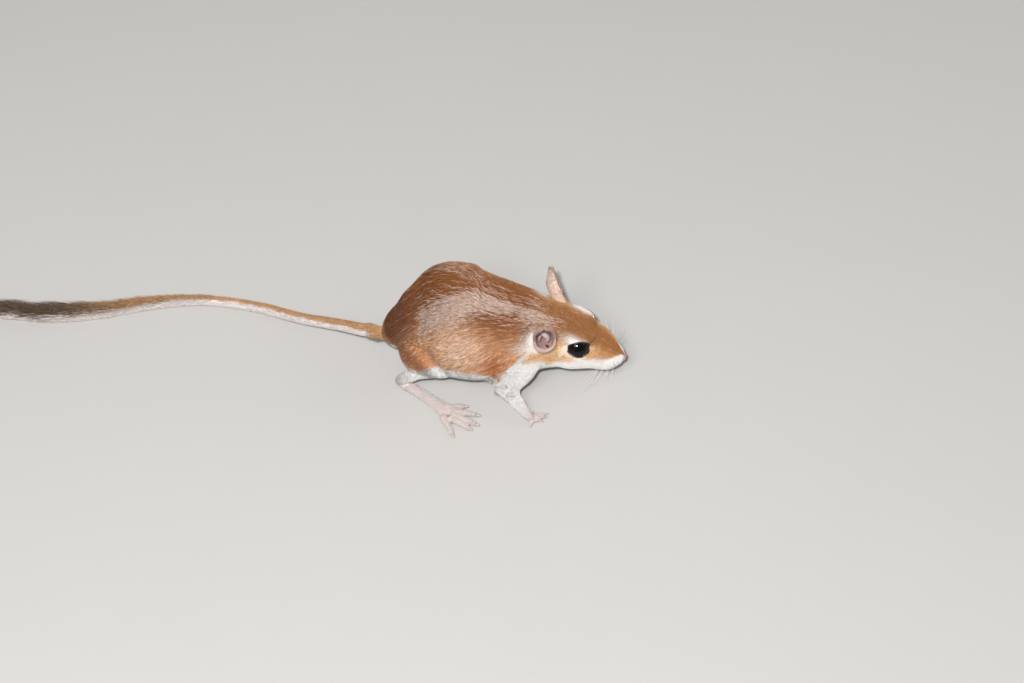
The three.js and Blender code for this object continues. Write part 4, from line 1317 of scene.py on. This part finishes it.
# Shared grain: a colour made a little lighter and darker by two sizes of noise, and a height from them
def grainGroup():
    group = bpy.data.node_groups.new("fineGrain", "ShaderNodeTree")
    newSocket(group, "Colour", "INPUT", "NodeSocketColor", (0.5, 0.5, 0.5, 1))
    newSocket(group, "Scale", "INPUT", "NodeSocketFloat", 2000.0)
    newSocket(group, "Amount", "INPUT", "NodeSocketFloat", 0.2)
    newSocket(group, "Colour", "OUTPUT", "NodeSocketColor")
    newSocket(group, "Height", "OUTPUT", "NodeSocketFloat")
    nodes, links = group.nodes, group.links
    inputs, outputs = nodes.new("NodeGroupInput"), nodes.new("NodeGroupOutput")
    place = nodes.new("ShaderNodeTexCoord")
    fine, broad = nodes.new("ShaderNodeTexNoise"), nodes.new("ShaderNodeTexNoise")
    fine.inputs["Detail"].default_value = 4
    coarser = nodes.new("ShaderNodeMath")
    coarser.operation = "MULTIPLY"
    coarser.inputs[1].default_value = 0.17
    links.new(inputs.outputs["Scale"], coarser.inputs[0])
    for noise, scale in ((fine, inputs.outputs["Scale"]), (broad, coarser.outputs[0])):
        links.new(place.outputs["Object"], noise.inputs["Vector"])
        links.new(scale, noise.inputs["Scale"])
    both = nodes.new("ShaderNodeMath")
    both.operation = "ADD"
    links.new(fine.outputs["Fac"], both.inputs[0])
    links.new(broad.outputs["Fac"], both.inputs[1])
    spread = nodes.new("ShaderNodeMath")
    spread.operation = "MULTIPLY_ADD"
    links.new(both.outputs[0], spread.inputs[0])
    links.new(inputs.outputs["Amount"], spread.inputs[1])
    base = nodes.new("ShaderNodeMath")
    base.operation = "SUBTRACT"
    base.inputs[0].default_value = 1.0
    links.new(inputs.outputs["Amount"], base.inputs[1])
    links.new(base.outputs[0], spread.inputs[2])
    tone = nodes.new("ShaderNodeVectorMath")
    tone.operation = "SCALE"
    links.new(inputs.outputs["Colour"], tone.inputs[0])
    links.new(spread.outputs[0], tone.inputs["Scale"])
    links.new(tone.outputs[0], outputs.inputs["Colour"])
    links.new(both.outputs[0], outputs.inputs["Height"])
    return group


grain = grainGroup()


# A finish: the piece's own tint with grain, and its bump, on one Principled shader with its own values
def finish(name, scale, amount, bump, values, roughRange=None):
    material = bpy.data.materials.new(name)
    material.use_nodes = True
    nodes, links = material.node_tree.nodes, material.node_tree.links
    shader = nodes["Principled BSDF"]
    tint = nodes.new("ShaderNodeAttribute")
    tint.attribute_name = "tint"
    worn = nodes.new("ShaderNodeGroup")
    worn.node_tree = grain
    worn.inputs["Scale"].default_value = scale
    worn.inputs["Amount"].default_value = amount
    links.new(tint.outputs["Color"], worn.inputs["Colour"])
    links.new(worn.outputs["Colour"], shader.inputs["Base Color"])
    if bump:
        relief = nodes.new("ShaderNodeBump")
        relief.inputs["Strength"].default_value = bump[0]
        relief.inputs["Distance"].default_value = bump[1]
        links.new(worn.outputs["Height"], relief.inputs["Height"])
        links.new(relief.outputs["Normal"], shader.inputs["Normal"])
    if roughRange:
        spread = nodes.new("ShaderNodeMapRange")
        spread.inputs["From Min"].default_value = 0.6
        spread.inputs["From Max"].default_value = 1.4
        spread.inputs["To Min"].default_value, spread.inputs["To Max"].default_value = roughRange
        links.new(worn.outputs["Height"], spread.inputs["Value"])
        links.new(spread.outputs["Result"], shader.inputs["Roughness"])
    for key, value in values.items():
        shader.inputs[key].default_value = value
    return material


furFinish = finish("shortFur", 5200, 0.14, None, {
    "Specular IOR Level": 0.42,
}, (0.4, 0.58))
skinFinish = finish("skinUnderFur", 2600, 0.25, (0.35, 0.00012), {
    "Subsurface Weight": 0.2, "Subsurface Radius": (0.002, 0.0008, 0.0005), "Specular IOR Level": 0.3,
}, (0.5, 0.7))
earFinish = finish("earSkin", 2200, 0.22, (0.3, 0.0001), {
    "Subsurface Weight": 0.15, "Subsurface Radius": (0.0012, 0.0006, 0.0005), "Specular IOR Level": 0.4,
}, (0.38, 0.55))
lidFinish = finish("lidSkin", 3000, 0.2, (0.3, 0.00006), {
    "Specular IOR Level": 0.5, "Coat Weight": 0.2,
}, (0.25, 0.42))
eyeFinish = finish("wetEye", 1500, 0.15, None, {
    "Roughness": 0.03, "Specular IOR Level": 0.28,
})
noseFinish = finish("nosePad", 5200, 0.2, (0.6, 0.00008), {
    "Subsurface Weight": 0.3, "Subsurface Radius": (0.001, 0.0004, 0.0003), "Coat Weight": 0.15,
}, (0.3, 0.5))
clawFinish = finish("horn", 3000, 0.25, (0.2, 0.00004), {
    "Coat Weight": 0.3, "Subsurface Weight": 0.2,
}, (0.25, 0.45))
whiskerFinish = finish("stiffHair", 1200, 0.15, None, {"Specular IOR Level": 0.6}, (0.25, 0.4))


def dress(piece, material):
    piece.data.materials.clear()
    piece.data.materials.append(material)


print("stage: skin piece")
bareFeet = partMask(found, "foot", "toe", "finger") * 1.0
bareFeet = np.maximum(bareFeet, partMask(found, "shank", "arm") * smoothStep(0.55, 0.9, found["share"]))
# skin under coloured fur darkened to 0.8 as painted shade beneath the coat; under white fur it stays bright
shadeUnderCoat = 0.8 + 0.2 * smoothStep(0.25, 0.7, skinColour[:, 2:])
skinTone = blendOf(skinColour * shadeUnderCoat, coatColours["footSkin"], evened(bareFeet, 6))
# the skin in each ear's cup takes the ear's inner tone darkened to 0.8 as painted shade in the cup
for name in sideNames.values():
    skinTone = blendOf(skinTone, earColours["inner"] * 0.8, inEarCup(skinPoints, name))
skinPiece = meshObject("gerbil_skin", placed(skinPoints), [skinQuads], skinTone)
finishPiece(skinPiece, [
    "torso", "neck", "head", "hind_leg_right", "hind_leg_left", "hind_foot_right", "hind_foot_left",
    "foreleg_right", "foreleg_left", "forefoot_right", "forefoot_left",
    "tail_base", "tail_middle", "tail_end", "tail_tuft",
])
dress(skinPiece, skinFinish)

print("stage: coat")
for piece in growCoat() + [growBrush()]:
    dress(piece, furFinish)

print("stage: head details")
earSheets = []
for name in sideNames.values():
    piece, sheet = buildEar(name)
    dress(piece, earFinish)
    dress(buildEarInside(name), earFinish)
    earSheets.append(sheet)
dress(growEarDown(earSheets), furFinish)
for side in sides:
    dress(buildLids(side), lidFinish)
    dress(buildEye(side), eyeFinish)
dress(buildNose(), noseFinish)
dress(buildClaws(), clawFinish)
dress(buildWhiskers(), whiskerFinish)

# Floor, light and camera
studio = {
    "floorSize": 3.0, "floorColour": (0.5, 0.487, 0.47), "world": 0.26,
    "elevation": 53, "distance": 1.4, "lens": 159.96, "aim": (0, 0, 12),
    # place from the aim, size and power of each lamp; the flash stands by the camera
    "keyLight": ((-0.25, -0.45, 0.75), 0.35, 2.6), "fillLight": ((0.7, 0.2, 0.5), 0.6, 0.8),
    "flashDistance": 0.9, "flashLight": ((-0.05, 0, 0.1), 0.05, 9.0),
}


def areaLight(name, start, aim):
    shift, size, power = studio[name]
    place = start + Vector(shift)
    data = bpy.data.lights.new(name, "AREA")
    data.shape, data.size, data.energy = "DISK", size, power
    light = bpy.data.objects.new(name, data)
    light.location = place
    light.rotation_mode = "QUATERNION"
    light.rotation_quaternion = (aim - place).to_track_quat("-Z", "Y")
    bpy.context.scene.collection.objects.link(light)


def buildStudio():
    half = studio["floorSize"] / 2
    corners = np.array([(-half, -half, 0), (half, -half, 0), (half, half, 0), (-half, half, 0)])
    tone = np.tile(studio["floorColour"], (4, 1))
    floor = meshObject("floor", corners, [np.array([[0, 1, 2, 3]])], tone, flat=True)
    dress(floor, finish("paleFloor", 60, 0.02, None, {"Roughness": 0.8, "Specular IOR Level": 0.2}))
    world = bpy.data.worlds.new("softRoom")
    world.use_nodes = True
    sky = world.node_tree.nodes["Background"]
    sky.inputs["Color"].default_value = (1, 1, 1, 1)
    sky.inputs["Strength"].default_value = studio["world"]
    bpy.context.scene.world = world
    aim = Vector(placed(np.array(studio["aim"], float)))
    lift = math.radians(studio["elevation"])
    back = Vector((0, -math.cos(lift), math.sin(lift)))
    areaLight("keyLight", aim, aim)
    areaLight("fillLight", aim, aim)
    areaLight("flashLight", aim + back * studio["flashDistance"], aim)
    camera = bpy.data.objects.new("camera", bpy.data.cameras.new("camera"))
    camera.data.lens = studio["lens"]
    camera.data.sensor_width = 36
    camera.data.clip_end = 10
    camera.location = aim + back * studio["distance"]
    camera.rotation_mode = "QUATERNION"
    camera.rotation_quaternion = (-back).to_track_quat("-Z", "Y")
    bpy.context.scene.collection.objects.link(camera)
    bpy.context.scene.camera = camera
    bpy.context.scene.view_settings.view_transform = "Standard"


print("stage: studio")
buildStudio()
